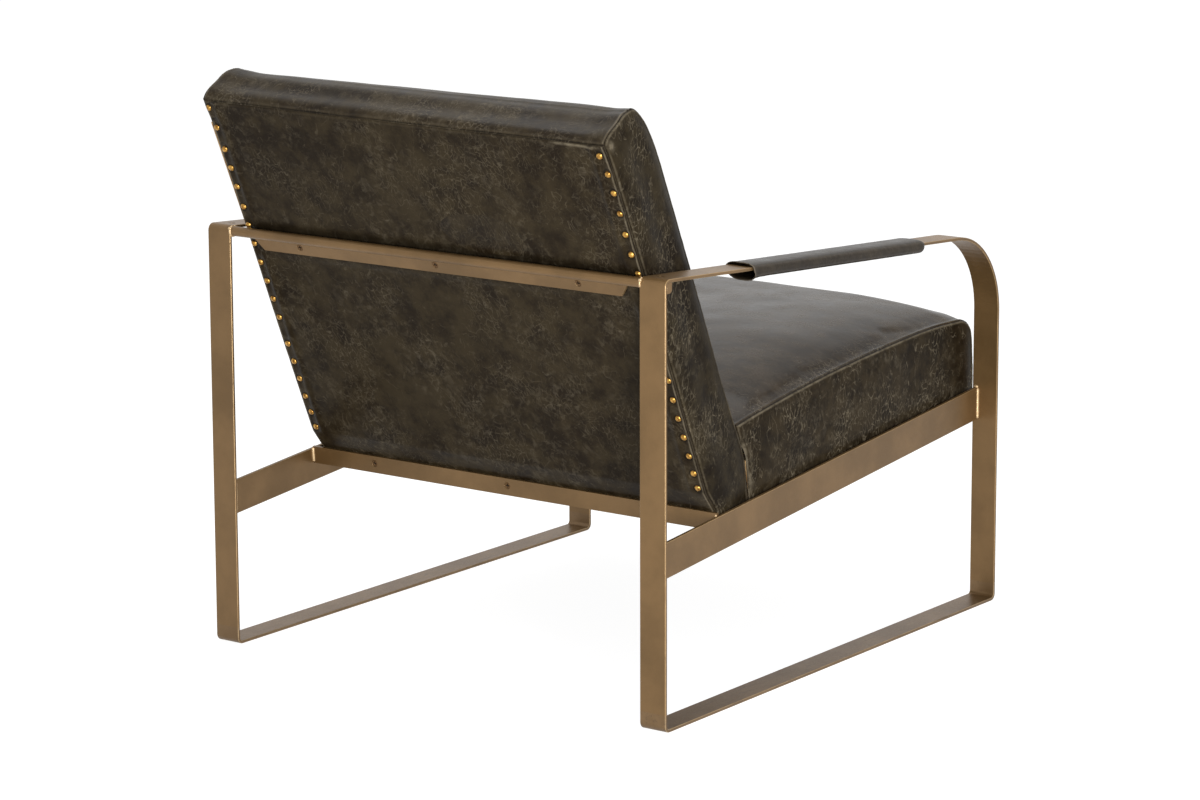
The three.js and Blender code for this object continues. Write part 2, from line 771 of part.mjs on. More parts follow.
function seatOutline() {
  const gap = fit_gap * 2;
  const rear = [backFront(stile_foot_depth), backFront(back_knee)]
    .map((p) => toSeat(fromBack(p)))
    .map((p) => point(p.x - gap, p.y));
  const rear_foot = point(back_foot_front - gap, base_height);
  const slope = (rear[0].x - rear[1].x) / (rear[0].y - rear[1].y);
  const rear_height = seatTop(rear[0].x);
  const rear_top = point(rear[0].x + slope * (rear_height - rear[0].y), rear_height);
  const front_top = seat_front + seat_shoulder_reach;
  const round = point(front_top, seatTop(front_top) - seat_shoulder_drop);
  const top = Array.from({ length: seat_top_steps }, (_, i) => {
    const y = rear_top.x + ((front_top - rear_top.x) * i) / seat_top_steps;
    return point(y, seatTop(y));
  });
  return [
    rear_top,
    ...top.slice(1),
    ...oval(round, seat_shoulder_reach, seat_shoulder_drop, quarter, half_turn, shoulder_steps),
    point(seat_front + seat_front_draw / 2, (round.y + base_height) / 2),
    point(seat_front + seat_front_draw, base_height),
    rear_foot,
    rear[1],
  ];
}

// The top swells straight up, and the front swells forward above its foot.
function seatSwell(p, normal) {
  const clear_of_back = smooth((back_foot_front - p.x) / seat_shoulder_drop);
  const above_foot = smooth((p.y - base_height) / seat_shoulder_drop);
  const up = Math.max(0, normal.y) ** 2 * THREE.MathUtils.lerp(seat_rear_crown_share, 1, clear_of_back);
  const forward = Math.max(0, -normal.x) ** 2 * above_foot * seat_front_crown_share;
  return point(-seat_crown * forward, seat_crown * up);
}

const seat_shape = { outline: seatOutline(), swell: seatSwell, halfWidth: () => seat_half_width };
const seat_inner_half = seat_half_width - leather_thickness - fit_gap;
const seat_board_front = seat_front + seat_front_draw + leather_thickness + fit_gap;
const seat_board_rear = back_foot_front - 2 * fit_gap - leather_thickness - fit_gap;
const seat_board_bottom = base_height;
const seat_board_top = seat_board_bottom + seat_board_height;
const webbing_top = seat_board_top + fit_gap + strap_thickness;

function addSeatCover(group) {
  const outer = cushion({ ...seat_shape, puff: side_puff });
  const inner = cushion({ ...seat_shape, inset: leather_thickness });
  const reach = seat_half_width - leather_thickness;
  const front = seat_front + seat_front_draw + leather_thickness;
  const rear = back_foot_front - 2 * fit_gap - leather_thickness;
  const opening = box(-reach, reach, front, rear, base_height - overrun, base_height + 2 * leather_thickness);
  addMesh(group, 'seat_cover', cut(outer, inner, opening), leather);
}

function addSeatFoam(group) {
  const body = cushion({ ...seat_shape, inset: leather_thickness + fit_gap });
  const reach = seat_half_width + overrun;
  const below = box(-reach, reach, seat_front - overrun, back_foot_front + overrun,
    base_height - overrun, webbing_top + fit_gap);
  addMesh(group, 'seat_foam', cut(body, below), foam);
}

function addSeatBoards(group) {
  const low = seat_board_bottom;
  const high = seat_board_top;
  const outer = seat_inner_half - fit_gap;
  const inner = outer - board_thickness;
  const inner_front = seat_board_front + board_thickness;
  const inner_rear = seat_board_rear - board_thickness;
  for (const [hand, side] of sides) {
    const [x0, x1] = side < 0 ? [-outer, -inner] : [inner, outer];
    const side_board = box(x0, x1, seat_board_front, seat_board_rear, low, high);
    addMesh(group, `seat_side_board_${hand}`, side_board, timber);
  }
  const across_reach = inner - fit_gap;
  const front_board = box(-across_reach, across_reach, seat_board_front, inner_front, low, high);
  addMesh(group, 'seat_front_board', cut(front_board, ...frontScrews(fit_gap)), timber);
  const rear_board = box(-across_reach, across_reach, inner_rear, seat_board_rear, low, high);
  addMesh(group, 'seat_rear_board', rear_board, timber);
  for (const [hand, side] of sides) {
    for (const [end, y, way] of [['front', inner_front, 1], ['rear', inner_rear, -1]]) {
      const block = cornerBlock(side * across_reach, y + way * fit_gap, -side, way);
      addMesh(group, `corner_block_${end}_${hand}`, block, timber);
    }
  }
}

// Three-cornered block glued into a corner of the seat frame, with its long face across the corner.
function cornerBlock(x, y, way_x, way_y) {
  const corners = [point(x, y), point(x + way_x * block_side, y), point(x, y + way_y * block_side)];
  const outline = way_x * way_y > 0 ? corners : corners.reverse();
  const depth = seat_board_height - board_thickness;
  const geometry = new THREE.ExtrudeGeometry(new THREE.Shape(outline), { depth, bevelEnabled: false });
  return geometry.translate(0, 0, seat_board_bottom + fit_gap);
}

function addSeatStraps(group) {
  const reach = seat_inner_half - fit_gap - board_thickness + strap_overlap;
  const count = 5;
  const low = seat_board_front + board_thickness + strap_width / 2;
  const high = seat_board_rear - board_thickness - strap_width * 1.5;
  for (let i = 0; i < count; i += 1) {
    const y = low + ((high - low) * i) / (count - 1);
    const strap = box(-reach, reach, y, y + strap_width, seat_board_top + fit_gap, webbing_top);
    addMesh(group, `seat_strap_${i + 1}`, strap, webbing);
  }
}

function addDustCover(group) {
  const reach = seat_inner_half - dust_cover_margin;
  const front = front_angle_front + front_angle_shelf + fit_gap;
  const rear = back_foot_front - dust_cover_margin;
  const top = base_height - fit_gap;
  addMesh(group, 'seat_dust_cover', box(-reach, reach, front, rear, top - dust_cover_thickness, top), lining);
}

// Leather sleeve over a thin foam wrap on each arm bar, in a group that lies along the sloped bar.
function roundedOutline(width, height, radius, hang = 0) {
  const x = width / 2 - radius;
  const z = height / 2 - radius;
  return [[1, 1], [-1, 1], [-1, -1], [1, -1]].flatMap(([sx, sz], i) =>
    arc(point(sx * x, sz * z - hang), radius, i * quarter, (i + 1) * quarter, sleeve_corner_steps));
}

function tube(outer, inner, length) {
  const shape = new THREE.Shape(outer);
  shape.holes = [new THREE.Path(inner)];
  return new THREE.ExtrudeGeometry(shape, { depth: length, bevelEnabled: false }).rotateX(quarter);
}

function addSleeves(group) {
  const sleeve_rear = half_depth - sleeve_rear_gap;
  const length = (frame_depth - sleeve_rear_gap - sleeve_front_gap) / Math.cos(arm_angle);
  const foam_width = sleeve_width - 2 * sleeve_leather - 2 * fit_gap;
  const foam_height = sleeve_height - 2 * sleeve_leather - 2 * fit_gap;
  const lined = sleeve_corner - sleeve_leather;
  const bore = roundedOutline(bar_width + 2 * fit_gap, bar_thickness + 2 * fit_gap, edge_ease);
  const middle_height = armTop(sleeve_rear) - bar_thickness / 2 / Math.cos(arm_angle);
  for (const [hand, side] of sides) {
    const arm = new THREE.Group();
    arm.position.set(side * (half_width - bar_width / 2), sleeve_rear, middle_height);
    arm.rotation.x = arm_angle;
    const sleeve = roundedOutline(sleeve_width, sleeve_height, sleeve_corner, sleeve_hang);
    const lining = roundedOutline(foam_width + 2 * fit_gap, foam_height + 2 * fit_gap, lined, sleeve_hang);
    const wrap = roundedOutline(foam_width, foam_height, lined - fit_gap, sleeve_hang);
    addMesh(arm, `arm_sleeve_${hand}`, tube(sleeve, lining, length), leather);
    addMesh(arm, `arm_foam_${hand}`, tube(wrap, bore, length), foam);
    group.add(arm);
  }
}

function addBack(group) {
  const back = new THREE.Group();
  back.position.set(0, back_origin.x, back_origin.y);
  back.rotation.x = -recline;
  addPlate(back);
  addBackCover(back);
  addRearPanel(back);
  addBackFoam(back);
  addStiles(back);
  addBackRails(back);
  addBackStraps(back);
  group.add(back);
}

function addSeat(group) {
  const seat = new THREE.Group();
  seat.position.set(0, 0, rail_middle);
  seat.rotation.x = -rail_angle;
  addAngles(seat);
  addBottomRail(seat);
  addSeatCover(seat);
  addSeatFoam(seat);
  addSeatBoards(seat);
  addSeatStraps(seat);
  addDustCover(seat);
  group.add(seat);
}

const chair = new THREE.Group();
addLoops(chair);
addCornerPlates(chair);
addSeatRails(chair);
addCrossbar(chair);
addSleeves(chair);
addSeat(chair);
addBack(chair);

// The back overhangs the frame, so the chair is moved until the origin is under its middle.
const extent = new THREE.Box3().setFromObject(chair, true);
chair.position.y = -(extent.min.y + extent.max.y) / 2;

export default chair;
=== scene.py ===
# Looks of the occasional chair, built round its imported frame.
# Lengths are in millimetres unless said otherwise.
from math import cos, exp, pi, radians, sin, sqrt, tan
import bpy
import numpy as np
from mathutils import Matrix, Vector, noise
from mathutils.kdtree import KDTree


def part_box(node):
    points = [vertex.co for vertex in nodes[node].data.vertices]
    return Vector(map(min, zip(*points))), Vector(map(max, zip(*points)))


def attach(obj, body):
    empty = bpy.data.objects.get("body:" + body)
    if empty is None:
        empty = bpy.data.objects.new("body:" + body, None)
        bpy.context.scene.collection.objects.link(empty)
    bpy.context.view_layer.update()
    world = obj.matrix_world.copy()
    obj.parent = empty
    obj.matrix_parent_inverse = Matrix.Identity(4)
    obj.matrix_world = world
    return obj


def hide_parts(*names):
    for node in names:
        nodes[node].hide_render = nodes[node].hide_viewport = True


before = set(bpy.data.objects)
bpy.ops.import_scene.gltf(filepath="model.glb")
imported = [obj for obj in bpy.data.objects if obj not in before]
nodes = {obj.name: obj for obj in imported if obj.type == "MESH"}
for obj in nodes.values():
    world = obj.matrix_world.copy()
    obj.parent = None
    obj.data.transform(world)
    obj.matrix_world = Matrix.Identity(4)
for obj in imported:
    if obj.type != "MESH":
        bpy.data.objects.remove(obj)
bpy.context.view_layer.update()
scene = bpy.context.scene
unit = 0.001

# Places that the CAD gives, in the frame of the side loops: y 0 is the middle of the loops.
half_depth = 391.0
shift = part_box("rear_leg_left")[1].y / unit - half_depth
loop_x = 345
arm_height, arm_angle = 560.0, 0.06130416
rail_angle, rail_middle = 0.09531752, 213.0
rail_outer, rail_inner, rail_end = 334.0, 329.0, 387.0
crossbar_y, crossbar_z = 384.5, 552
recline, back_origin = 0.41684105, (235.86, 237.06)
# In the seat's own frame, along the rails.
seat_half, base_height = 322.0, 29.1
foot_rear, foot_front = 223.9, 147.19
rear_angle_top = 47.8
crest_y, shoulder_y = -109.83, -368
# In the back's own frame, along its rear face.
head_seam, panel_top = 529.5, 528.6
plate_low, plate_high, plate_reach = 320.8, 342.8, 296.0
# How far the head seam and the crest lie above their CAD places, and their rise per mm towards one end.
seam_rise, crest_rise, head_slope = 6.4, -1.0, 0.0135
screw_spacing = 222.0
hands = (("right", -1), ("left", 1))


# ---- camera
azimuth, elevation, roll = (radians(a) for a in (216.3836, 10.4543, -0.1816))
forward = Vector((-sin(azimuth) * cos(elevation), cos(azimuth) * cos(elevation), -sin(elevation)))
right = forward.cross(Vector((0, 0, 1))).normalized()
up = right.cross(forward)
right, up = right * cos(roll) + up * sin(roll), up * cos(roll) - right * sin(roll)
camera = bpy.data.objects.new("camera", bpy.data.cameras.new("camera"))
camera.data.lens = 115.2
camera.data.sensor_width = 36.0
camera.data.shift_y = -0.0833
camera.data.clip_end = 200
camera.matrix_world = Matrix(((right.x, up.x, -forward.x, -2.9626),
                              (right.y, up.y, -forward.y, 4.0486 + shift * unit),
                              (right.z, up.z, -forward.z, 1.3638),
                              (0, 0, 0, 1)))
scene.collection.objects.link(camera)
scene.camera = camera


# ---- small tools
def leaning(p, angle, origin):
    c, s = cos(angle), sin(angle)
    return np.stack([p[:, 0], origin[0] + p[:, 1] * c + p[:, 2] * s + shift,
                     origin[1] - p[:, 1] * s + p[:, 2] * c], 1)


def from_seat(p):
    return leaning(p, rail_angle, (0.0, rail_middle))


def from_back(p):
    return leaning(p, recline, back_origin)


def from_loop(p):
    return p + np.array([0, shift, 0])


def crossed(to_world, angle, origin, y, z):
    """A place (y, z) in one leaning frame, given in the other, which has this angle and origin."""
    q = to_world(np.array([[0.0, y, z]]))[0]
    a, b = q[1] - shift - origin[0], q[2] - origin[1]
    c, s = cos(angle), sin(angle)
    return (a * c - b * s, a * s + b * c)


def seat_in_back(y, z):
    return crossed(from_seat, recline, back_origin, y, z)


def back_in_seat(y, z):
    return crossed(from_back, rail_angle, (0.0, rail_middle), y, z)


def smooth(x, low=0.0, high=1.0):
    t = np.clip((np.asarray(x, float) - low) / (high - low), 0, 1)
    return t * t * (3 - 2 * t)


def peak(x, width):
    return np.exp(-(x / width) ** 2)


def angles(count):
    return 2 * pi * np.arange(count) / count


def spline(points, per=14):
    p = np.asarray(points, float)
    ends = np.vstack([2 * p[0] - p[1], p, 2 * p[-1] - p[-2]])
    t = (np.arange(per) / per)[:, None]
    out = []
    for i in range(len(p) - 1):
        a, b, c, d = ends[i:i + 4]
        out.append(0.5 * (2 * b + (c - a) * t + (2 * a - 5 * b + 4 * c - d) * t ** 2
                          + (3 * b - a - 3 * c + d) * t ** 3))
    return np.vstack(out + [p[-1:]])


def run(path):
    return np.r_[0, np.cumsum(np.linalg.norm(np.diff(path, axis=0), axis=1))]


def along(path, shares):
    d = run(path)
    return np.stack([np.interp(np.asarray(shares) * d[-1], d, path[:, k])
                     for k in range(path.shape[1])], 1)


# Rows of a hide lie close together beside a seam, so that its groove comes out.
fine = np.array([0, 0.5, 1.0, 1.6, 2.4, 3.4, 4.8, 6.8, 9.5, 13, 17])


def graded(total, pitch):
    inner = total - 2 * fine[-1]
    n = max(2, round(inner / pitch))
    return np.r_[fine, fine[-1] + inner * np.arange(1, n) / n, total - fine[::-1]] / total


def wave(p, scale, seed=0.0):
    """Smooth noise, about -1 to 1, at points in mm; scale is the size of a wave in mm."""
    q = np.asarray(p, float) / scale
    q = q if q.ndim > 1 else np.stack([q, q * 0, q * 0], 1)
    return np.array([noise.noise(Vector(a)) for a in q + np.array([7.31, -3.17, 1.73]) * seed])


def ripples(a, b, scale, seed):
    """The same noise for two arrays of one shape, taken as coordinates."""
    return wave(np.stack([a.ravel(), b.ravel(), b.ravel() * 0], 1), scale, seed).reshape(a.shape)


def tree_of(points):
    tree = KDTree(len(points))
    for i, p in enumerate(points):
        tree.insert(p, i)
    tree.balance()
    return tree


def grid_faces(rows, columns, start=0, close=False):
    i, j = np.meshgrid(np.arange(rows - 1), np.arange(columns if close else columns - 1), indexing="ij")
    a = start + i * columns + j
    b = start + i * columns + (j + 1) % columns
    return np.stack([a, b, b + columns, a + columns], -1).reshape(-1, 4)


def vertex_normals(v, faces):
    a, b, c, d = (v[faces[:, k]] for k in range(4))
    n = np.cross(c - a, d - b)
    out = np.zeros_like(v)
    for k in range(4):
        np.add.at(out, faces[:, k], n)
    return out / np.maximum(np.linalg.norm(out, axis=1, keepdims=True), 1e-9)


def weld(v, faces):
    """Joins points that lie together; also says where each kept point came from."""
    _, first, back = np.unique(np.round(v, 2), axis=0, return_index=True, return_inverse=True)
    return v[first], back.ravel()[faces], first


def make(name, v, faces, material, attributes=None, shade=True):
    """A mesh object from points in mm. Corners of a face that fell together are dropped."""
    mesh = bpy.data.meshes.new(name)
    polygons = []
    for f in np.asarray(faces).tolist():
        kept = [x for k, x in enumerate(f) if x != f[k - 1]]
        if len(set(kept)) > 2:
            polygons.append(kept)
    mesh.from_pydata((np.asarray(v) * unit).tolist(), [], polygons)
    mesh.validate()
    if shade:
        mesh.polygons.foreach_set("use_smooth", [True] * len(mesh.polygons))
    for key, values in (attributes or {}).items():
        layer = mesh.attributes.new(key, "FLOAT", "POINT")
        layer.data.foreach_set("value", np.asarray(values, np.float32))
    mesh.materials.append(material)
    obj = bpy.data.objects.new(name, mesh)
    scene.collection.objects.link(obj)
    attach(obj, "root")
    return obj


def thicken(obj, thickness, offset):
    solid = obj.modifiers.new("thickness", "SOLIDIFY")
    solid.thickness, solid.offset = thickness, offset


def rgb(*levels):
    """A linear colour from display levels, 0 to 255."""
    return tuple((c / 255 / 12.92 if c <= 10.3 else ((c / 255 + 0.055) / 1.055) ** 2.4)
                 for c in levels) + (1.0,)


# ---- materials
class Graph:
    """The shader nodes of a new material, or of a given owner."""

    def __init__(self, name, owner=None):
        self.owner = owner or bpy.data.materials.new(name)
        self.owner.use_nodes = True
        self.tree = self.owner.node_tree
        self.shader = self.tree.nodes.get("Principled BSDF")

    def feed(self, socket, value):
        if isinstance(value, bpy.types.NodeSocket):
            self.tree.links.new(value, socket)
        else:
            socket.default_value = value

    def node(self, kind, inputs=None, **attributes):
        n = self.tree.nodes.new("ShaderNode" + kind)
        for key, value in attributes.items():
            setattr(n, key, value)
        for key, value in (inputs or {}).items():
            self.feed(n.inputs[key], value)
        return n

    def math(self, operation, a, b=0.0, clamp=False):
        return self.node("Math", {0: a, 1: b}, operation=operation, use_clamp=clamp).outputs[0]

    def times(self, a, b, clamp=False):
        return self.math("MULTIPLY", a, b, clamp)

    def ramp(self, value, low, high, out_low=0.0, out_high=1.0, kind="SMOOTHSTEP"):
        return self.node("MapRange", {0: value, 1: low, 2: high, 3: out_low, 4: out_high},
                         interpolation_type=kind).outputs[0]

    def mix(self, share, a, b):
        n = self.node("Mix", data_type="RGBA")
        for socket, value in ((n.inputs[0], share), (n.inputs[6], a), (n.inputs[7], b)):
            self.feed(socket, value)
        return n.outputs[2]

    def noise(self, vector, scale, detail=4.0, rough=0.6, distortion=0.0, output="Fac"):
        return self.node("TexNoise", {"Vector": vector, "Scale": scale, "Detail": detail,
                         "Roughness": rough, "Distortion": distortion}).outputs[output]

    def cells(self, vector, scale, feature="DISTANCE_TO_EDGE"):
        return self.node("TexVoronoi", {"Vector": vector, "Scale": scale},
                         feature=feature).outputs["Distance"]

    def place(self, offset=(0, 0, 0), stretch=(1, 1, 1), turn=(0, 0, 0)):
        coordinates = self.node("TexCoord").outputs["Object"]
        return self.node("Mapping", {"Vector": coordinates, "Location": offset,
                         "Rotation": turn, "Scale": stretch}).outputs[0]

    def attribute(self, name):
        return self.node("Attribute", attribute_name=name).outputs["Fac"]

    def bump(self, height, strength, distance, normal=None):
        n = self.node("Bump", {"Height": height, "Strength": strength, "Distance": distance})
        if normal is not None:
            self.feed(n.inputs["Normal"], normal)
        return n.outputs[0]

    def seen(self):
        """1 for the rays that see the surroundings themselves, which are pure white."""
        rays = self.node("LightPath").outputs
        through = self.math("MAXIMUM", rays["Is Glossy Ray"], rays["Is Transmission Ray"])
        return self.math("MAXIMUM", rays["Is Camera Ray"], through)

    def set(self, **values):
        for key, value in values.items():
            self.feed(self.shader.inputs[key.replace("_", " ")], value)
        return self.owner


def leather(name, dark, light, mark, seed, lines=1.0, rough=0.33, level=0.10):
    """Distressed leather: mottled pigment, fine rubbed lines in patches, smudges, worn welts, dark seams, and
    painted shade that the upholstery lays into the same darkening attribute.
    """
    g = Graph(name)
    at = g.place(offset=(seed, -seed * 0.7, seed * 1.3))

    def warp(vector, scale, reach):
        drift = g.noise(vector, scale, 3, 0.5, output="Color")
        drift = g.node("VectorMath", {0: drift, "Scale": reach}, operation="SCALE").outputs[0]
        return g.node("VectorMath", {0: vector, 1: drift}, operation="ADD").outputs[0]

    bent = warp(warp(at, 14, 0.030), 85, 0.0085)

    def patches(scale, low, high, offset):
        return g.ramp(g.noise(g.place(offset=(offset + seed, seed, offset)), scale), low, high)

    def pull(turn, length, offset):
        return g.node("Mapping", {"Vector": bent, "Location": (offset, -offset, offset),
                      "Rotation": turn, "Scale": (1, 1, length)}, vector_type="TEXTURE").outputs[0]

    def strokes(turn, length, scale, levels, width, patch, low, high, offset):
        """Thin bent lines that mostly run one way, broken into strokes and kept to patches."""
        value = g.times(g.noise(pull(turn, length, offset), scale, 2, 0.5, 0.5), levels)
        line = g.ramp(g.math("PINGPONG", value, 0.5), 0.0, width * levels, 1.0, 0.0)
        line = g.times(line, g.ramp(g.noise(bent, scale * 1.2, 2, 0.5), 0.42, 0.56))
        return g.times(line, patches(patch, low, high, offset))

    def web(turn, length, scale, width, patch, low, high, offset):
        """A fine net of hair cracks, stretched one way, broken up and kept to soft patches."""
        line = g.ramp(g.cells(pull(turn, length, offset), scale), 0.0, width, 1.0, 0.0)
        line = g.times(line, g.ramp(g.noise(bent, scale * 1.1, 3), 0.40, 0.60, 0.12, 1.0))
        return g.times(line, patches(patch, low, high, offset))

    broad = g.noise(at, 7.0)
    middle = g.noise(at, 34, 6, 0.65)
    small = g.noise(at, 150, 5, 0.62)
    amount = g.attribute("marks")
    hairs = web((0.12, 0.10, 0.0), 2.2, 170, 0.10, 12, 0.44, 0.62, 3.1)
    for layer in (
        strokes((0.15, 0.12, 0.0), 3.6, 44, 4, 0.014, 13, 0.47, 0.62, 2.2),
        strokes((-0.45, -0.20, 0.4), 2.8, 56, 3, 0.016, 16, 0.48, 0.63, 7.7),
        strokes((0.85, 0.40, 0.1), 2.8, 50, 3, 0.015, 14, 0.49, 0.64, 5.3),
        strokes((-1.25, 0.60, 0.9), 2.0, 70, 3, 0.018, 18, 0.50, 0.65, 9.4),
        strokes((0.55, -0.60, 0.2), 3.0, 20, 2, 0.006, 8, 0.50, 0.60, 1.3),
    ):
        hairs = g.math("MAXIMUM", hairs, g.times(layer, 0.7))
    clouds = g.times(g.ramp(g.noise(bent, 95, 4, 0.65, 0.6), 0.46, 0.72), patches(13, 0.40, 0.64, 4.4))
    shown = g.times(hairs, amount)
    tone = g.math("ADD", g.times(broad, 0.35), g.times(middle, 0.65))
    colour = g.mix(g.ramp(tone, 0.38, 0.62), dark, light)
    colour = g.mix(g.times(g.times(clouds, amount), 0.20), colour, mark)
    colour = g.mix(g.times(shown, 0.50 * lines), colour, mark)
    worn = g.times(g.attribute("edge"), g.ramp(g.noise(at, 75), 0.30, 0.60, 0.30, 1.0))
    colour = g.mix(g.times(worn, 0.62, clamp=True), colour, mark)
    # near black for the seams' dark lines and for painted shade, both from one attribute
    colour = g.mix(g.times(g.attribute("seams_and_painted_shade"), 0.95, clamp=True), colour, rgb(9, 7, 5))
    grain = g.node("TexVoronoi", {"Vector": at, "Scale": 760.0, "Smoothness": 0.5},
                   feature="SMOOTH_F1").outputs["Distance"]
    height = g.math("ADD", g.times(grain, 0.25), g.times(small, 0.45))
    height = g.math("SUBTRACT", height, g.times(hairs, 0.35))
    normal = g.bump(height, 0.30, 0.0005, g.bump(middle, 0.22, 0.0022))
    shine = g.ramp(middle, 0.3, 0.7, rough - 0.05, rough + 0.06, "LINEAR")
    shine = g.math("ADD", shine, g.times(shown, 0.14))
    return g.set(Base_Color=colour, Roughness=shine, Normal=normal, Specular_IOR_Level=level)


def steel(name, dark, light, edge_wear_and_highlight, scuffed=0.0):
    """Satin bronze paint on steel: faint clouding, a fine orange-peel, scuffs, and lighter bevel facets that
    are partly wear and partly painted highlight.
    """
    g = Graph(name)
    at = g.place()
    cloud = g.noise(at, 9, 5)
    grit = g.noise(at, 420)
    streak = g.noise(g.place(stretch=(1, 0.08, 1)), 190)
    colour = g.mix(g.ramp(cloud, 0.35, 0.66), dark, light)
    colour = g.mix(g.times(g.ramp(grit, 0.56, 0.72), 0.22), colour, light)
    facing = g.node("NewGeometry").outputs["True Normal"]
    facing = g.math("ABSOLUTE", g.node("SeparateXYZ", {0: facing}).outputs[0])
    # lighter bevel facets: partly worn paint, partly painted highlight
    bevel_wear_and_highlight = g.times(g.ramp(facing, 0.25, 0.55), g.ramp(facing, 0.80, 0.97, 1.0, 0.0))
    bevel_wear_and_highlight = g.times(bevel_wear_and_highlight, g.ramp(g.noise(at, 45), 0.30, 0.62, 0.45, 0.95))
    colour = g.mix(bevel_wear_and_highlight, colour, edge_wear_and_highlight)
    if scuffed:
        scratch = g.noise(g.place(turn=(0, 0, 0.7), stretch=(1, 0.25, 1)), 55, 5, 0.6, 1.4)
        scratch = g.math("ABSOLUTE", g.math("SUBTRACT", scratch, 0.5))
        scratch = g.math("MAXIMUM", g.ramp(scratch, 0.0, 0.012, 1.0, 0.0), g.ramp(streak, 0.58, 0.70))
        worn = g.times(scratch, g.ramp(cloud, 0.42, 0.60))
        colour = g.mix(g.times(worn, scuffed), colour, rgb(58, 44, 32))
    normal = g.bump(g.math("ADD", g.noise(at, 260, 3, 0.5), g.times(grit, 0.4)), 0.16, 0.0005)
    shine = g.ramp(grit, 0.3, 0.7, 0.35, 0.46, "LINEAR")
    return g.set(Base_Color=colour, Roughness=shine, Normal=normal, Metallic=0.45)


def weld_metal(name):
    g = Graph(name)
    at = g.place()
    colour = g.mix(g.noise(at, 260), rgb(166, 132, 90), rgb(236, 208, 164))
    normal = g.bump(g.noise(at, 420), 0.5, 0.0006)
    shine = g.ramp(g.noise(at, 300, 4, 0.55), 0.3, 0.7, 0.28, 0.5)
    return g.set(Base_Color=colour, Roughness=shine, Metallic=0.55, Normal=normal)


def small_metal(name, scale, colours, tarnish_and_shade, share, grain, strength, depth, shine, metallic):
    """Metal of nails and screws: a dark, a light and a darkest colour, and the attribute that lays on the
    darkest. Round the nails' rims it is partly tarnish and partly painted shade; in the screws' cross
    recesses it is painted shade.
    """
    g = Graph(name)
    at = g.place()
    tone = g.noise(at, scale)
    spread = g.ramp(tone, 0.35, 0.68) if tarnish_and_shade == "rim" else tone
    colour = g.mix(spread, colours[0], colours[1])
    colour = g.mix(g.times(g.attribute(tarnish_and_shade), share), colour, colours[2])
    normal = g.bump(g.noise(at, grain, 3), strength, depth)
    shine = g.ramp(tone, 0.3, 0.7, *shine)
    return g.set(Base_Color=colour, Roughness=shine, Metallic=metallic, Normal=normal)


def timber(name):
    g = Graph(name)
    rings = g.noise(g.place(stretch=(0.6, 9, 9)), 9, 5, 0.6, 0.6)
    fibre = g.noise(g.place(stretch=(0.5, 40, 40)), 30)
    colour = g.mix(g.ramp(rings, 0.35, 0.65), rgb(168, 128, 82), rgb(208, 172, 122))
    colour = g.mix(g.times(g.ramp(fibre, 0.5, 0.7), 0.35), colour, rgb(140, 100, 60))
    return g.set(Base_Color=colour, Roughness=0.78, Normal=g.bump(fibre, 0.35, 0.0006))


def woven(name, dark, light, pitch):
    """A plain weave; its pitch is in metres, as the shader works in metres."""
    g = Graph(name)
    at = g.place()
    x, y, z = g.node("SeparateXYZ", {0: at}).outputs
    across = g.math("SINE", g.times(x, 2 * pi / pitch))
    over = g.math("SINE", g.times(g.math("ADD", y, z), 2 * pi / pitch))
    weave = g.times(across, over)
    colour = g.mix(g.ramp(weave, -0.8, 0.8), dark, light)
    colour = g.mix(g.times(g.noise(at, 60), 0.35), colour, dark)
    return g.set(Base_Color=colour, Roughness=0.92, Normal=g.bump(weave, 0.5, 0.0005))


def foam_material(name):
    g = Graph(name)
    pores = g.cells(g.place(), 520, "F1")
    colour = g.mix(g.ramp(pores, 0.1, 0.6), rgb(178, 160, 112), rgb(232, 220, 184))
    return g.set(Base_Color=colour, Roughness=0.95, Normal=g.bump(pores, 0.5, 0.0012))


rubbed = rgb(138, 127, 107)
hide = leather("leather_back", rgb(31, 23, 13), rgb(55, 46, 31), rubbed, 0.37, lines=0.75, level=0.08)
# the back's side copy: less sheen, and a darker base colour that is painted shade
hide_side = leather("leather_back_side", rgb(26, 19, 10), rgb(52, 44, 30), rubbed, 2.41, level=0.03)
hide_panel = leather("leather_panel", rgb(33, 25, 15), rgb(57, 48, 33), rubbed, 1.91,
                     lines=0.55, level=0.05)
hide_seat = leather("leather_seat", rgb(35, 27, 17), rgb(56, 46, 33), rubbed, 3.13,
                    level=0.13, rough=0.24)
# the seat's side copy: less sheen, and a darker base colour that is painted shade
hide_seat_side = leather("leather_seat_side", rgb(27, 20, 11), rgb(54, 45, 31), rubbed, 4.57,
                         lines=1.15, level=0.035)
hide_arm = leather("leather_arm", rgb(34, 27, 19), rgb(50, 42, 31), rgb(110, 100, 86), 5.71,
                   lines=0.5, rough=0.32, level=0.13)
paint = steel("bronze_paint", rgb(106, 81, 48), rgb(124, 96, 60), rgb(166, 136, 94))
paint_runner = steel("bronze_paint_scuffed", rgb(104, 80, 50), rgb(124, 99, 68), rgb(166, 142, 106), 0.6)
bead_metal = weld_metal("weld_bead")
# the nails' dark rims: partly tarnish, partly painted shade
nail_brass = small_metal("nail_brass", 240, (rgb(132, 92, 38), rgb(206, 160, 82), rgb(44, 29, 14)),
                         "rim", 0.85, 700, 0.30, 0.0004, (0.24, 0.42), 0.92)
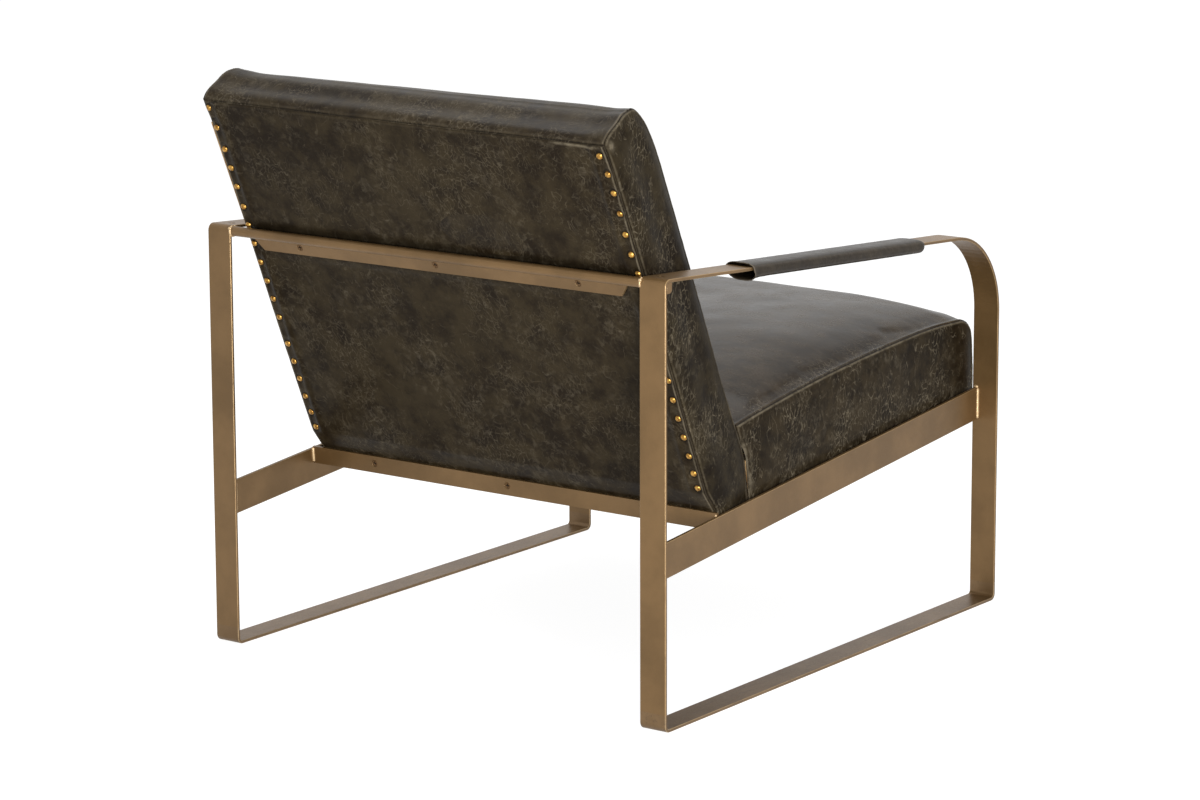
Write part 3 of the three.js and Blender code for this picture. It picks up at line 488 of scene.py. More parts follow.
# the screws' cross recesses are coloured near black: painted shade
screw_metal = small_metal("screw_metal", 380, (rgb(66, 47, 27), rgb(118, 88, 54), rgb(10, 7, 4)),
                          "recess", 0.92, 900, 0.25, 0.0003, (0.3, 0.5), 0.8)
frame_wood = timber("frame_wood")
strap_web = woven("strap_web", rgb(54, 46, 38), rgb(96, 84, 70), 0.0024)
lining_cloth = woven("lining_cloth", rgb(20, 19, 18), rgb(44, 42, 40), 0.0016)
filling = foam_material("filling")

# The first row with a word that is in a node's name gives its material, and paint is for the rest.
by_word = (
    ("floor_runner", paint_runner), ("screw", screw_metal), ("strap", strap_web), ("foam", filling),
    ("seat_dust_cover", lining_cloth), ("_cover", hide), ("back_rear_panel", hide), ("sleeve", hide),
    ("board", frame_wood), ("block", frame_wood), ("stile", frame_wood), ("back_top_rail", frame_wood),
    ("back_middle", frame_wood), ("back_bottom", frame_wood), ("", paint),
)
for name, obj in nodes.items():
    obj.data.materials.clear()
    obj.data.materials.append(next(material for word, material in by_word if word in name))


# ---- upholstered forms
class Seams:
    """Seam lines with their looks, looked up from any point."""

    def __init__(self):
        self.points, self.runs, self.kinds, self.styles = [], [], [], []

    def add(self, line, **style):
        d = run(line)
        shares = np.linspace(0, 1, max(2, int(d[-1] / 1.2)))
        self.points.append(along(line, shares))
        self.runs.append(shares * d[-1] + 977.0 * len(self.styles))
        self.kinds.append(np.full(len(shares), len(self.styles)))
        self.styles.append(style)

    def near(self, v):
        """For each point: the distance to its nearest seam, the place along it, and its style."""
        tree = tree_of(np.vstack(self.points))
        found = [tree.find(p) for p in v]
        index = np.array([f[1] for f in found])
        kinds = np.concatenate(self.kinds)[index]
        style = {key: np.array([s[key] for s in self.styles])[kinds] for key in self.styles[0]}
        return np.array([f[2] for f in found]), np.concatenate(self.runs)[index], style


def upholstery(rear, top, front, foot, half, inset, radius, swell, pitch):
    """A closed form of a wrap over the top and down the front, two side panels, a rear and a foot face.
    Paths are (y, z): rear and front run up from the foot, top and foot run forward. Returns points,
    faces, how freely each point moves, its kind (0 wrap, 1 side, 2 rear or foot), and the seam lines."""
    us, vs = graded(run(top)[-1], pitch), graded(run(front)[-1], pitch)
    gs = 2 * graded(2 * half(rear[0]), pitch) - 1
    rear_p, front_p, top_p, foot_p = along(rear, vs), along(front, vs), along(top, us), along(foot, us)
    wrap = np.vstack([top_p, front_p[::-1][1:]])

    def width(path):
        return np.array([half(p) - inset(p) for p in path])

    u, v = np.meshgrid(us, vs, indexing="ij")
    u, v = u[..., None], v[..., None]
    flat = ((1 - v) * foot_p[:, None] + v * top_p[:, None] + (1 - u) * rear_p[None] + u * front_p[None]
            - (1 - u) * (1 - v) * rear_p[0] - u * (1 - v) * front_p[0]
            - (1 - u) * v * rear_p[-1] - u * v * front_p[-1]).reshape(-1, 2)
    ring = np.vstack([wrap, foot_p[::-1][1:-1], rear_p])
    ring = along(np.vstack([ring, ring[:1]]), np.linspace(0, 1, 1400))
    tree = tree_of(np.column_stack([ring, np.zeros(len(ring))]))
    found = [tree.find((p[0], p[1], 0)) for p in flat]
    near = ring[[f[1] for f in found]]
    away = np.array([f[2] for f in found])
    bend = (1 - np.clip(away / np.array([radius(p) for p in near]), 0, 1)) ** 2
    rounded = np.array([half(p) for p in flat]) - np.array([inset(p) for p in near]) * bend
    side_x = np.where(away < 0.3, width(flat), rounded) + 1.6 * smooth(away, 6, 34)
    parts, faces, free, kinds, start = [], [], [], [], 0

    def put(grid, rows, columns, flip, freedom, kind):
        nonlocal start
        f = grid_faces(rows, columns, start)
        parts.append(grid)
        faces.append(f if flip else f[:, ::-1])
        free.append(np.full(len(grid), freedom))
        kinds.append(np.full(len(grid), kind))
        start += len(grid)

    def put_across(path, lifted, flip, freedom, kind):
        t, g = (a.ravel() for a in np.meshgrid(np.arange(len(path)), gs, indexing="ij"))
        lift = swell(path[t], g) * (lifted | (t == len(path) - 1))[:, None]
        put(np.column_stack([width(path)[t] * g, path[t] + lift]), len(path), len(gs), flip, freedom, kind)

    put_across(wrap, True, False, 1.0, 0)
    for side in (-1, 1):
        put(np.column_stack([side * side_x, flat]), len(us), len(vs), side > 0, 1.0, 1)
    put_across(rear_p, False, False, 0.0, 2)
    put_across(foot_p, False, True, 0.0, 2)
    points, quads, first = weld(np.vstack(parts), np.vstack(faces))
    edges = {name: [np.column_stack([side * width(path), path]) for side in (-1, 1)]
             for name, path in (("side", wrap), ("rear", rear_p))}
    head = wrap[:1] + swell(np.repeat(wrap[:1], len(gs), 0), gs)
    edges["head"] = np.column_stack([width(wrap)[0] * gs, head])
    return points, quads, np.concatenate(free)[first], np.concatenate(kinds)[first], edges


def dress(points, quads, free, seams, seed, wrinkle):
    """Seam grooves, welts, puckers that run out from the seams, and soft waves in the hide."""
    distance, place, style = seams.near(points)
    width, fold = style["width"], style["fold"]
    groove = -style["groove"] * peak(distance, width)
    welt = style["welt"] * peak(distance - width - 1.6, 1.5)
    folds = ripples(place / fold, distance / 60, 1.0, seed)
    folds = folds + 0.5 * ripples(place / fold * 2.3, distance / 30, 1.0, seed + 1)
    pucker = style["pucker"] * folds * smooth(distance, 0.8, 3.5) * np.exp(-distance / style["reach"])
    soft = wave(points, 110, seed + 2) + 0.45 * wave(points, 46, seed + 3)
    soft = wrinkle * soft * smooth(distance, 4, 40)
    amount = groove + welt + (pucker + soft) * np.where(free > 0, 1, 0.15)
    looks = {"seams_and_painted_shade": peak(distance, width * 0.75),
             "edge": peak(distance - width - 1.4, 1.1) * style["worn"]}
    return points + vertex_normals(points, quads) * amount[:, None], looks


def inflate(points, quads, free, seams, cap):
    """Fills the form out like a stuffed cushion, by up to cap: a cloth simulation under pressure, on a
    coarse closed copy. Only its outward part counts, so that the hide never sinks into the boards."""
    frames = 16
    mesh = bpy.data.meshes.new("inflate")
    mesh.from_pydata((points * unit).tolist(), [],
                     [list(dict.fromkeys(f)) for f in quads.tolist() if len(set(f)) > 2])
    obj = bpy.data.objects.new("inflate", mesh)
    scene.collection.objects.link(obj)
    bpy.context.view_layer.objects.active = obj
    remesh = obj.modifiers.new("remesh", "REMESH")
    remesh.mode = "VOXEL"
    remesh.voxel_size = 0.009
    with bpy.context.temp_override(object=obj, active_object=obj):
        bpy.ops.object.modifier_apply(modifier="remesh")

    def places(mesh):
        co = np.zeros(len(mesh.vertices) * 3)
        mesh.vertices.foreach_get("co", co)
        return co.reshape(-1, 3)

    rest = places(obj.data)
    cloth = obj.modifiers.new("cloth", "CLOTH")
    s = cloth.settings
    s.quality = 4
    s.mass = 0.35
    s.tension_stiffness = s.compression_stiffness = 18
    s.shear_stiffness = 8
    s.bending_stiffness = 0.6
    s.use_pressure = True
    s.uniform_pressure_force = 4.0
    s.effector_weights.gravity = 0
    cloth.point_cache.frame_start, cloth.point_cache.frame_end = 1, frames
    for i in range(1, frames + 1):
        scene.frame_set(i)
    delta = (places(obj.evaluated_get(bpy.context.evaluated_depsgraph_get()).data) - rest) / unit
    scene.frame_set(1)
    bpy.data.objects.remove(obj)
    delta = delta - delta.mean(0)
    tree = tree_of(rest / unit)
    out = np.zeros_like(points)
    for k, p in enumerate(points):
        total = 0.0
        for _, i, d in tree.find_n(p, 5):
            w = 1 / (d + 1.5)
            out[k] += delta[i] * w
            total += w
        out[k] /= total
    normals = vertex_normals(points, quads)
    push = np.clip((out * normals).sum(1), 0, cap) * smooth(seams.near(points)[0], 2, 34)
    return points + normals * (push * free)[:, None]


def side_hide(obj, kind, material):
    """Gives the faces of the two side panels their own copy of the hide, with less sheen and a darker base
    colour; the darker base is painted shade.
    """
    obj.data.materials.append(material)
    sides = [int(np.mean(kind[list(p.vertices)] == 1) > 0.5) for p in obj.data.polygons]
    obj.data.polygons.foreach_set("material_index", sides)


# ---- back
def back_half(p):
    return 321 - 6 * float(smooth(p[1] / head_seam))


def back_inset(p):
    front = float(smooth(-p[0], 40, 92)) * float(smooth(p[1], 70, 150)) * 4.5
    return 2.0 + front + 0.4 * float(smooth(p[1], 200, 330)) * float(smooth(p[0], -20, -3))


def settle(points):
    """The stuffed back sits a little nearer one rail and higher at the other, full at its rear seams and
    drawn in at the top corners."""
    x, y, z = points.T
    seam = 322.8 - 3.6 * (np.clip(z, 0, 560) / head_seam) ** 3
    seam = seam - 3.6 * np.exp(-np.clip(head_seam - z, 0, None) / 16)
    more = seam - (317.7 - 6 * smooth(z / head_seam))
    far = -2.6 - 1.2 * smooth(z, 330, 400) + 2.6 * smooth(z, 490, 532)
    share = (1 - smooth(-y, 10, 70)) * smooth(np.abs(x), 200, 315)
    at_seam, at_crest = seam_rise + head_slope * x, crest_rise + head_slope * x
    rise = at_seam + (at_crest - at_seam) * smooth(-y, 4, 44)
    rise = rise * (1 - smooth(-y, 62, 96)) * smooth(z, 430, 526)
    return np.column_stack([x + np.where(x < 0, -more, far) * share, y, z + rise])


def back_radius(p):
    return 6 + 17 * float(smooth(-p[0], 40, 92))


back_rear = np.array([seat_in_back(foot_rear - 2.2, z) for z in (base_height, rear_angle_top)]
                     + [(-1.9, 31.3), (-1.9, head_seam)])
back_top = spline([(-1.9, head_seam), (-11, 536.0), (-23, 541.4), (-40, 546.4), (-54, 548.2), (-70, 544.4)])
front_foot = seat_in_back(foot_front, base_height)
back_front = spline([front_foot, (-95, 20), (-95.5, 80), (-98, 140), (-100.5, 240), (-101.5, 320),
                     (-102, 400), (-101.6, 455), (-99.6, 484), (-95.2, 508), (-87.5, 528), (-79.5, 538.6),
                     (-70, 544.4)])
back_foot_path = np.array([back_rear[0], front_foot])


def back_swell(p, g):
    body = 1 - np.abs(g) ** 7
    y, z = p[:, 0], p[:, 1]
    forward = smooth(-y, 60, 95) * smooth(z, 95, 250)
    ear = peak((1 - np.abs(g)) * 315, 26)
    dip = 4.6 * (1 - ear) * smooth(z, 520, 540) * smooth(-y, 4, 34)
    uneven = smooth(z, 527, 530) * 0.7 * ripples(g * 320, z * 0, 70, 4.0)
    return np.stack([-7 * forward * body, uneven - dip], 1)


points, quads, free, kind, edges = upholstery(back_rear, back_top, back_front, back_foot_path, back_half,
                                              back_inset, back_radius, back_swell, 5.0)
points = settle(points)
seams = Seams()
for line in edges["side"]:
    seams.add(settle(line), groove=1.3, width=1.1, welt=0.7, pucker=0.5, reach=16, fold=11.0, worn=0.7)
for line in edges["rear"]:
    seams.add(settle(line), groove=2.6, width=1.3, welt=0.3, pucker=0.35, reach=12, fold=14.0, worn=0.4)
seams.add(settle(edges["head"]), groove=1.0, width=0.9, welt=0.8, pucker=1.0, reach=15, fold=12.5, worn=0.2)
points = inflate(points, quads, free, seams, 1.5)
points, looks = dress(points, quads, free, seams, 11.0, 0.7)
# a small lump where the seams meet at each top corner, lighter in colour: partly wear, partly painted
# highlight
corner = np.hypot(points[:, 1] + 9, points[:, 2] - 526) * np.where(kind == 1, 1, 9)
points[:, 0] += np.sign(points[:, 0]) * 1.8 * peak(corner, 5.5)
looks["edge"] = np.maximum(looks["edge"], 1.3 * peak(corner, 5.0))
looks["marks"] = np.where(kind == 1, 1.0, 0.45 + 0.5 * smooth(points[:, 2], 500, 530))
looks["marks"] *= 1 - 0.75 * smooth(-points[:, 1], 66, 86) * (kind == 1)
back = make("back_upholstery", from_back(points), quads, hide, looks)
side_hide(back, kind, hide_side)
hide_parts("back_cover", "back_foam")


# Where the nails of the rear panel sit, by side: distance from the middle and height. The far side's low
# nails, which don't show, keep to the same spacing.
nails = {-1: [(306.8, 516.4), (311.8, 491.8), (312.7, 465.6), (312.7, 437.0), (312.8, 407.7), (312.8, 380.2)],
         1: [(304.9, 528.3), (302.2, 499.4), (301.6, 467.8), (301.9, 439.8), (302.0, 411.2), (302.9, 382.0)]}
for side, row in nails.items():
    first, last, count = (353.4, 199.2, 7) if side < 0 else (354.3, 211.0, 6)
    row += [(314.2 if side < 0 else 305.6, first + (last - first) * i / (count - 1)) for i in range(count)]
    row += [(313.7 if side < 0 else 306.4, z) for z in (170.4, 142.1, 114.6, 86.4, 61.0, 37.6)]


# Rear panel: a stretched sheet of hide, rolled in at its side edges, dimpled by the nails.
def panel_half(z):
    return 321 - 6 * smooth(np.asarray(z) / head_seam) - 3.7


def rolled(gap, radius=1.9):
    """How far an edge that is rolled in lies back, by the gap to the edge."""
    return np.sqrt(np.clip(radius ** 2 - np.clip(radius - gap, 0, radius) ** 2, 0, None)) - radius


path = np.array([(0.0, panel_top), (0.0, 31.0), seat_in_back(foot_rear, rear_angle_top),
                 seat_in_back(foot_rear, base_height)])
drop = run(path)[-1]
rows = np.r_[0, 0.8, 1.8, 3.2, np.arange(5, drop - 1, 2.4), drop] / drop
line = along(path, rows)
edge_steps = np.r_[0, 0.5, 1.0, 1.6, 2.2, 3.0, 3.8, np.arange(4.8, 26, 1.3), 30, 36, 44] / 317
gs = np.r_[-1 + edge_steps, np.linspace(-1 + 52 / 317, 1 - 52 / 317, 88), (1 - edge_steps)[::-1]]
z, g = np.meshgrid(line[:, 1], gs, indexing="ij")
y = np.repeat(line[:, :1], len(gs), 1)
half = panel_half(z)
x = g * half
from_edge = (1 - np.abs(g)) * half
from_top = panel_top - z
x = settle(np.column_stack([x.ravel(), y.ravel(), z.ravel()]))[:, 0].reshape(x.shape)
nail_gap = np.full(z.shape, 99.0)
for side, row in nails.items():
    for across, place in row:
        nail_gap = np.minimum(nail_gap, np.hypot(x - side * across, z - place))
bulge = rolled(from_edge) - 2.2 * peak(from_edge, 0.45)
bulge = bulge + rolled(from_top) - 1.6 * peak(np.clip(from_top, 0, 9), 0.6)
clear = 1 - smooth(z, plate_low - 16, plate_low - 5) * smooth(-z, -plate_high - 14, -plate_high - 4)
ridge = 1.5 * peak(from_edge - 18, 5.0) * (1 + 0.45 * ripples(x, z, 23, 2.0))
broad = 0.9 * ripples(x, z, 150, 6.0) * smooth(from_edge, 8, 60)
puckers = 0.45 * ripples(x / 12.5, from_top / 50, 1.0, 9.0)
puckers = puckers * np.exp(-from_top / 14) * smooth(from_top, 0.5, 3)
inward = -1.6 * (1 - g ** 2) * smooth(z, 40, 200) * smooth(-z, -500, -380)
relief = ((ridge + broad + puckers + inward) * clear - 1.6 * peak(nail_gap, 6.0)) * smooth(z, 20, 46)
sag = 0.7 * ripples(g * 320, g * 0, 70, 4.0)
z_placed = z + sag * smooth(-from_top, -26, 0) + (seam_rise + head_slope * x) * smooth(z, 430, 526)
faint = 0.55 + 0.45 * smooth(ripples(x, z * 0, 60, 8.0), -0.25, 0.2)
seams_and_painted_shade = np.max([
    peak(from_edge, 0.8),
    faint * peak(np.clip(from_top, 0, 99), 0.6),
    # painted shade: a dark ring round each nail head where it meets the hide
    0.85 * peak(nail_gap - 5.0, 1.3),
    # painted shade: a dark band on the hide just above the crossbar
    0.62 * peak(np.clip(z - 354.0, 0, None), 8.0) * (z > 348),
    # painted shadow: a thin dark line on the hide under the mounting plate
    0.45 * peak(np.clip(plate_low - z, 0, None), 4.0) * (np.abs(x) < plate_reach) * (z < 348),
], 0)
worn_top = 0.14 + 1.1 * smooth(-x, 232, 256) * smooth(x, -314, -296) + 0.5 * smooth(x, 280, 310)
rim = np.maximum(1.1 * peak(from_edge - 2.1, 1.0), worn_top * peak(from_top - 2.2, 1.4))
sheet_points = np.stack([x, y + bulge + relief, z_placed], -1).reshape(-1, 3)
panel = make("back_panel_sheet", from_back(sheet_points), grid_faces(len(rows), len(gs)), hide_panel,
             {"seams_and_painted_shade": seams_and_painted_shade.ravel(), "edge": rim.ravel(), "marks": np.ones(rim.size)})
thicken(panel, 0.0012, -1)
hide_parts("back_rear_panel")


def nail_mesh(side, seed):
    """Domed nails down one side of the rear panel: rings of radius, height, and share of dark rim colour,
    which is partly tarnish and partly painted shade.
    """
    rings = [(4.75, -0.5, 1.0), (4.7, 0.1, 1.0), (4.35, 0.55, 0.5), (3.9, 1.2, 0.1), (3.1, 1.95, 0),
             (2.1, 2.45, 0), (1.05, 2.72, 0), (0.02, 2.8, 0)]
    around = 20
    a = angles(around)
    v, faces, rims, start = [], [], [], 0
    rng = np.random.default_rng(seed)
    for across, place in nails[side]:
        cx = side * (across + rng.normal(0, 0.25))
        cz = place + rng.normal(0, 0.4)
        tilt = rng.normal(0, 0.05, 2)
        for r, h, m in rings:
            dent = 1 + 0.03 * np.sin(a * 3 + place) * (r > 1)
            px, pz = r * np.cos(a) * dent, r * np.sin(a) * dent
            v.append(np.stack([cx + px, -1.1 + h + tilt[0] * px + tilt[1] * pz, cz + pz], 1))
            rims.append(np.full(around, m))
        faces.append(grid_faces(len(rings), around, start, close=True)[:, ::-1])
        start += len(rings) * around
    return np.vstack(v), np.vstack(faces), np.concatenate(rims)


for hand, side in hands:
    v, faces, rims = nail_mesh(side, 5 + side)
    make(f"back_nails_{hand}", from_back(v), faces, nail_brass, {"rim": rims})


# ---- seat
def seat_top_height(y):
    away = y - crest_y
    rear_drop = 10 * (away / (foot_front - crest_y)) ** 2
    front_drop = 9 * (away / (crest_y + 402)) ** 2
    return 153.5 - np.where(away > 0, rear_drop, front_drop) - 4.0 * smooth(-y, 290, 372)


def front_shoulder(start, end, count):
    """Part of the rounded front top edge; start and end are in half turns."""
    turn = np.linspace(pi * start, pi * end, count)
    return np.column_stack([shoulder_y + 36.5 * np.cos(turn),
                            float(seat_top_height(shoulder_y)) - 28 + 28 * np.sin(turn)])


# The rear follows the back's front face up to the height of the seat's top.
rear_low = (foot_front - 0.6, base_height)
knee = back_in_seat(-95.6, 20)
hip = back_in_seat(-95.6, 60)
slope = (hip[0] - knee[0]) / (hip[1] - knee[1])
rear_high_z = float(seat_top_height(hip[0]))
rear_high = (hip[0] + slope * (rear_high_z - hip[1]), rear_high_z)
seat_rear = np.array([rear_low, knee, rear_high])
top_ys = np.linspace(rear_high[0], shoulder_y, 12)
seat_top_path = np.column_stack([top_ys, seat_top_height(top_ys)])
seat_top_path = spline(np.vstack([seat_top_path[:-1], front_shoulder(0.5, 0.8, 7)[1:]]), 6)
lower = front_shoulder(0.8, 1.0, 6)
seat_front_path = spline(np.vstack([[(-400, base_height), (-403.4, 60), (-404.4, 92)], lower[::-1]]), 10)
seat_front_path[-1] = seat_top_path[-1]
seat_foot_path = np.array([rear_low, (-400, base_height)])


def seat_inset(p):
    top = float(smooth(p[1], base_height + 8, base_height + 60))
    front = float(smooth(-p[0], 320, 390))
    return 1.2 + 2.2 * top * (1 - 0.85 * front)


def seat_radius(p):
    return 9 + 8 * float(smooth(-p[0], 330, 396))


def seat_swell(p, g):
    body = 1 - np.abs(g) ** 4.5
    y, z = p[:, 0], p[:, 1]
    up = smooth(z, 96, 140) * (0.55 + 0.45 * smooth(foot_front - y, 0, 50)) * smooth(y, -404, -352)
    front = smooth(-y, 350, 398) * smooth(z, base_height, base_height + 45)
    crown = 32.5 - 10.5 * smooth(-y, 60, 330)
    return np.stack([-6 * front * (1 - np.abs(g) ** 7), crown * up * body], 1)


points, quads, free, kind, edges = upholstery(seat_rear, seat_top_path, seat_front_path, seat_foot_path,
                                              lambda p: seat_half, seat_inset, seat_radius, seat_swell, 5.5)
seams = Seams()
for line in edges["side"]:
    seams.add(line, groove=1.4, width=1.1, welt=0.8, pucker=0.55, reach=18, fold=13.0, worn=0.9)
for line in edges["rear"]:
    seams.add(line, groove=1.0, width=1.2, welt=0.3, pucker=0.7, reach=16, fold=12.0, worn=0.6)
seams.add(edges["head"], groove=1.0, width=1.3, welt=0.2, pucker=0.6, reach=14, fold=16.0, worn=0.2)
points = inflate(points, quads, free, seams, 2.5)
points, looks = dress(points, quads, free, seams, 23.0, 1.1)
# the side hide always lies outside the wooden side boards
board = max(abs(place[0]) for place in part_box("seat_side_board_left")) / unit + 1.0
low_side = (kind == 1) & (points[:, 2] < 112)
outside = np.sign(points[:, 0]) * np.maximum(np.abs(points[:, 0]), board)
points[:, 0] = np.where(low_side, outside, points[:, 0])
looks["edge"] = looks["edge"] * np.where(kind == 1, 1.15, 0.25)
x, y, z = points.T
side_gap = seat_half - np.abs(x)
on_top = 0.06 + 0.9 * peak(side_gap, 24) + 0.4 * smooth(-y, 360, 400)
looks["marks"] = np.where(kind == 1, 1.2, on_top)
# where the seat meets the back: light streaks on the side, partly wear and partly painted highlight, and
# painted shade where the hide folds in at the corner
rear_gap = np.interp(z, seat_rear[:, 1], seat_rear[:, 0]) - y
streaks = smooth(ripples(rear_gap * 2.2, z / 3, 9, 3.0), -0.25, 0.35)
gathered_wear_and_highlight = peak(rear_gap - 3, 7) * smooth(z, 34, 60) * smooth(-z, -150, -118)
looks["edge"] = np.maximum(looks["edge"], 1.1 * gathered_wear_and_highlight * streaks * (kind == 1))
# painted shade in the fold at the seat's rear corner
fold_in_shade = peak(np.hypot(rear_gap - 14, z - 126), 13) * smooth(side_gap, 0, 6) * smooth(-side_gap, -60, -20)
looks["seams_and_painted_shade"] = np.maximum(looks["seams_and_painted_shade"], 0.55 * fold_in_shade * (kind != 1))
seat = make("seat_upholstery", from_seat(points), quads, hide_seat, looks)
side_hide(seat, kind, hide_seat_side)
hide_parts("seat_cover", "seat_foam")


# ---- arm sleeves
def arm_top(y):
    return arm_height - (half_depth - y) * tan(arm_angle)


def sleeve(side):
    """Hide wrapped round the arm over a thin filling: a soft rounded section, closed round the front, with
    an open sagging rear mouth."""
    length, rear_y, around = 400.0, 206.0, 64
    us = np.r_[0, 0.8, 2, 4, 7, 11, 16, 22, np.arange(29, length - 12, 5.0),
               length - np.array([9, 6, 3.5, 1.8, 0.7, 0])]
    a = angles(around)
    cx, cz = (np.sign(w) * np.abs(w) ** (2 / 3.2) for w in (np.cos(a), np.sin(a)))
    v, seams_and_painted_shade, edge = [], [], []
    for u in us:
        close = sqrt(max(0.0, 1 - (1 - min(1.0, (length - u) / 7.0)) ** 2))
        half_w = 19.4 + 2.6 * close
        half_h = 3.2 + 6.3 * close
        mouth = exp(-u / 9.0)
        wobble = ripples(a * 6, a * 0 + u / 11.0, 1.0, 31 + side) * (0.35 + 1.0 * mouth)
        px = cx * (half_w + wobble * 0.4)
        pz = cz * (half_h + wobble * 0.6) - 3.2 * close
        below = np.clip(-cz, 0, 1) ** 0.7
        pz = pz - below * mouth * (2.6 + 1.6 * np.sin(a * 2.0 + 1.2 * side))
        pz = pz + np.clip(cz, 0, 1) * mouth * 0.6
        ragged = mouth * (below * 5.0 - 1.2 * np.clip(cz, 0, 1) * px / 22.0 * side)
        level = arm_top(rear_y) - 2 / cos(arm_angle) - u * sin(arm_angle)
        v.append(np.stack([side * loop_x + px, rear_y - u * cos(arm_angle) - ragged, level + pz], 1))
        seams_and_painted_shade.append(peak(px * -side - 6, 1.2) * (cz < 0) * 0.8)
        edge.append(1.6 * exp(-(u / 1.3) ** 2) + 0.35 * peak(np.abs(px) - half_w * 0.93, 1.5) * (cz > 0))
    # the hide turns in at the mouth and shows its inner side for a little way, darkened as painted shade
    inner = []
    for k, depth in enumerate((0.0, 6.0, 16.0, 34.0)):
        centre = np.array([side * loop_x, 0, arm_top(rear_y) - 5.2 - depth * sin(arm_angle)])
        shrink = np.array([1 - 1.4 / 22, 1, 1 - 1.4 / 9.5])
        ring = (v[min(k * 3, 8)] - centre) * shrink + centre
        ring[:, 1] = v[0][:, 1] - depth * cos(arm_angle)
        inner.insert(0, ring)
    rows = len(inner) + len(us)
    points = np.vstack(inner + v)
    points = np.vstack([points, points[-around:].mean(0)])
    last = (rows - 1) * around
    tip = len(points) - 1
    cap = np.array([[last + i, last + (i + 1) % around, tip, tip] for i in range(around)])
    faces = np.vstack([grid_faces(rows, around, 0, close=True), cap])
    turned = np.ones(len(inner) * around)
    # the turned-in rows get half the near-black darkening: painted shade inside the mouth
    return points, faces, {"seams_and_painted_shade": np.r_[0.5 * turned, np.concatenate(seams_and_painted_shade), 0],
                           "edge": np.r_[0 * turned, np.concatenate(edge), 0],
                           "marks": np.full(len(points), 0.6)}


for hand, side in hands:
    v, faces, looks = sleeve(side)
    piece = make(f"arm_sleeve_hide_{hand}", from_loop(v), faces, hide_arm, looks)
    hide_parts(f"arm_sleeve_{hand}", f"arm_foam_{hand}")


# ---- weld beads
def bead(line, width, height, lean, seed):
    """A lumpy weld bead along a line of points in the loop frame; lean is the way it stands out."""
    line = np.asarray(line, float)
    total = run(line)[-1]
    steps = max(8, int(total / 0.9))
    shares = np.linspace(0, 1, steps + 1)
    centre = along(line, shares)
    tangent = np.gradient(centre, axis=0)
    tangent /= np.linalg.norm(tangent, axis=1, keepdims=True)
    lean = np.asarray(lean, float)
    lean = np.broadcast_to(lean, centre.shape) if lean.ndim == 1 else along(lean, shares)
    lean = lean / np.linalg.norm(lean, axis=1, keepdims=True)
    wide = np.cross(tangent, lean)
    s = np.linspace(0, total, steps + 1)
    lumps = 0.82 + 0.18 * np.abs(np.sin(pi * s / 2.6)) + 0.16 * wave(s, 6.0, seed)
    from_end = np.clip(np.minimum(s, total - s) / (width * 0.5), 0, 1)
    size = (lumps * np.sqrt(np.clip(1 - (1 - from_end) ** 2, 0.02, 1)))[:, None, None]
    a = angles(12)[:, None]
    v = (centre[:, None] + np.cos(a) * width / 2 * size * wide[:, None]
         + np.sin(a) * height * size * lean[:, None])
    return v.reshape(-1, 3), grid_faces(steps + 1, len(a), 0, close=True)[:, ::-1]


def add_beads(name, parts):
    v, faces, start = [], [], 0
    for k, part in enumerate(parts):
        pv, pf = bead(*part, seed=k * 3.7 + len(name))
        v.append(pv)
        faces.append(pf + start)
        start += len(pv)
    make(name, from_loop(np.vstack(v)), np.vstack(faces), bead_metal)


for hand, side in hands:
    beads = []
    for y, low, way in ((-rail_end, 250, 1), (rail_end, 176, -1)):
        for x, out in ((rail_outer, 1), (rail_inner, -1)):
            beads.append(([(side * x, y, low + 1), (side * x, y, low + 44)], 5.4, 2.4, (side * out, way, 0)))
        over = [(side * x, y, low + 45.4) for x in (rail_inner - 1, rail_outer + 1)]
        beads.append((over, 5.0, 2.2, (0, way, 1)))
    add_beads(f"rail_welds_{hand}", beads)
    turn = np.linspace(0.2, 2 * pi - 0.2, 30)
    ring = [(side * 326.2, crossbar_y + 6.5 * sin(t), crossbar_z + 6.5 * cos(t)) for t in turn]
    lean = [(-side * 0.8, sin(t), cos(t)) for t in turn]
    blob = [(side * 327.0, 390.5, 553.5), (side * 326.0, 390.8, 558.0)]
    add_beads(f"crossbar_welds_{hand}", [(ring, 3.6, 1.6, lean), (blob, 7.0, 2.4, (-side * 0.35, 1, 0.2))])
    places = [(side * 328.0, y, z) for y, z in ((228.7, 26.5), (228.7, 46.5), (-352.5, 6.5), (-352.5, 23.5))]
    ends = from_seat(np.array(places)) - [0, shift, 0]
    add_beads(f"angle_welds_{hand}", [(pair, 4.6, 1.9, (-side, 1, 0)) for pair in (ends[:2], ends[2:])])
    lug = [(side * 362.2, 386.4, 545.0), (side * 362.2, 386.8, 551.0)]
    add_beads(f"corner_plate_welds_{hand}", [(lug, 2.6, 1.2, (-side, -1, 0))])


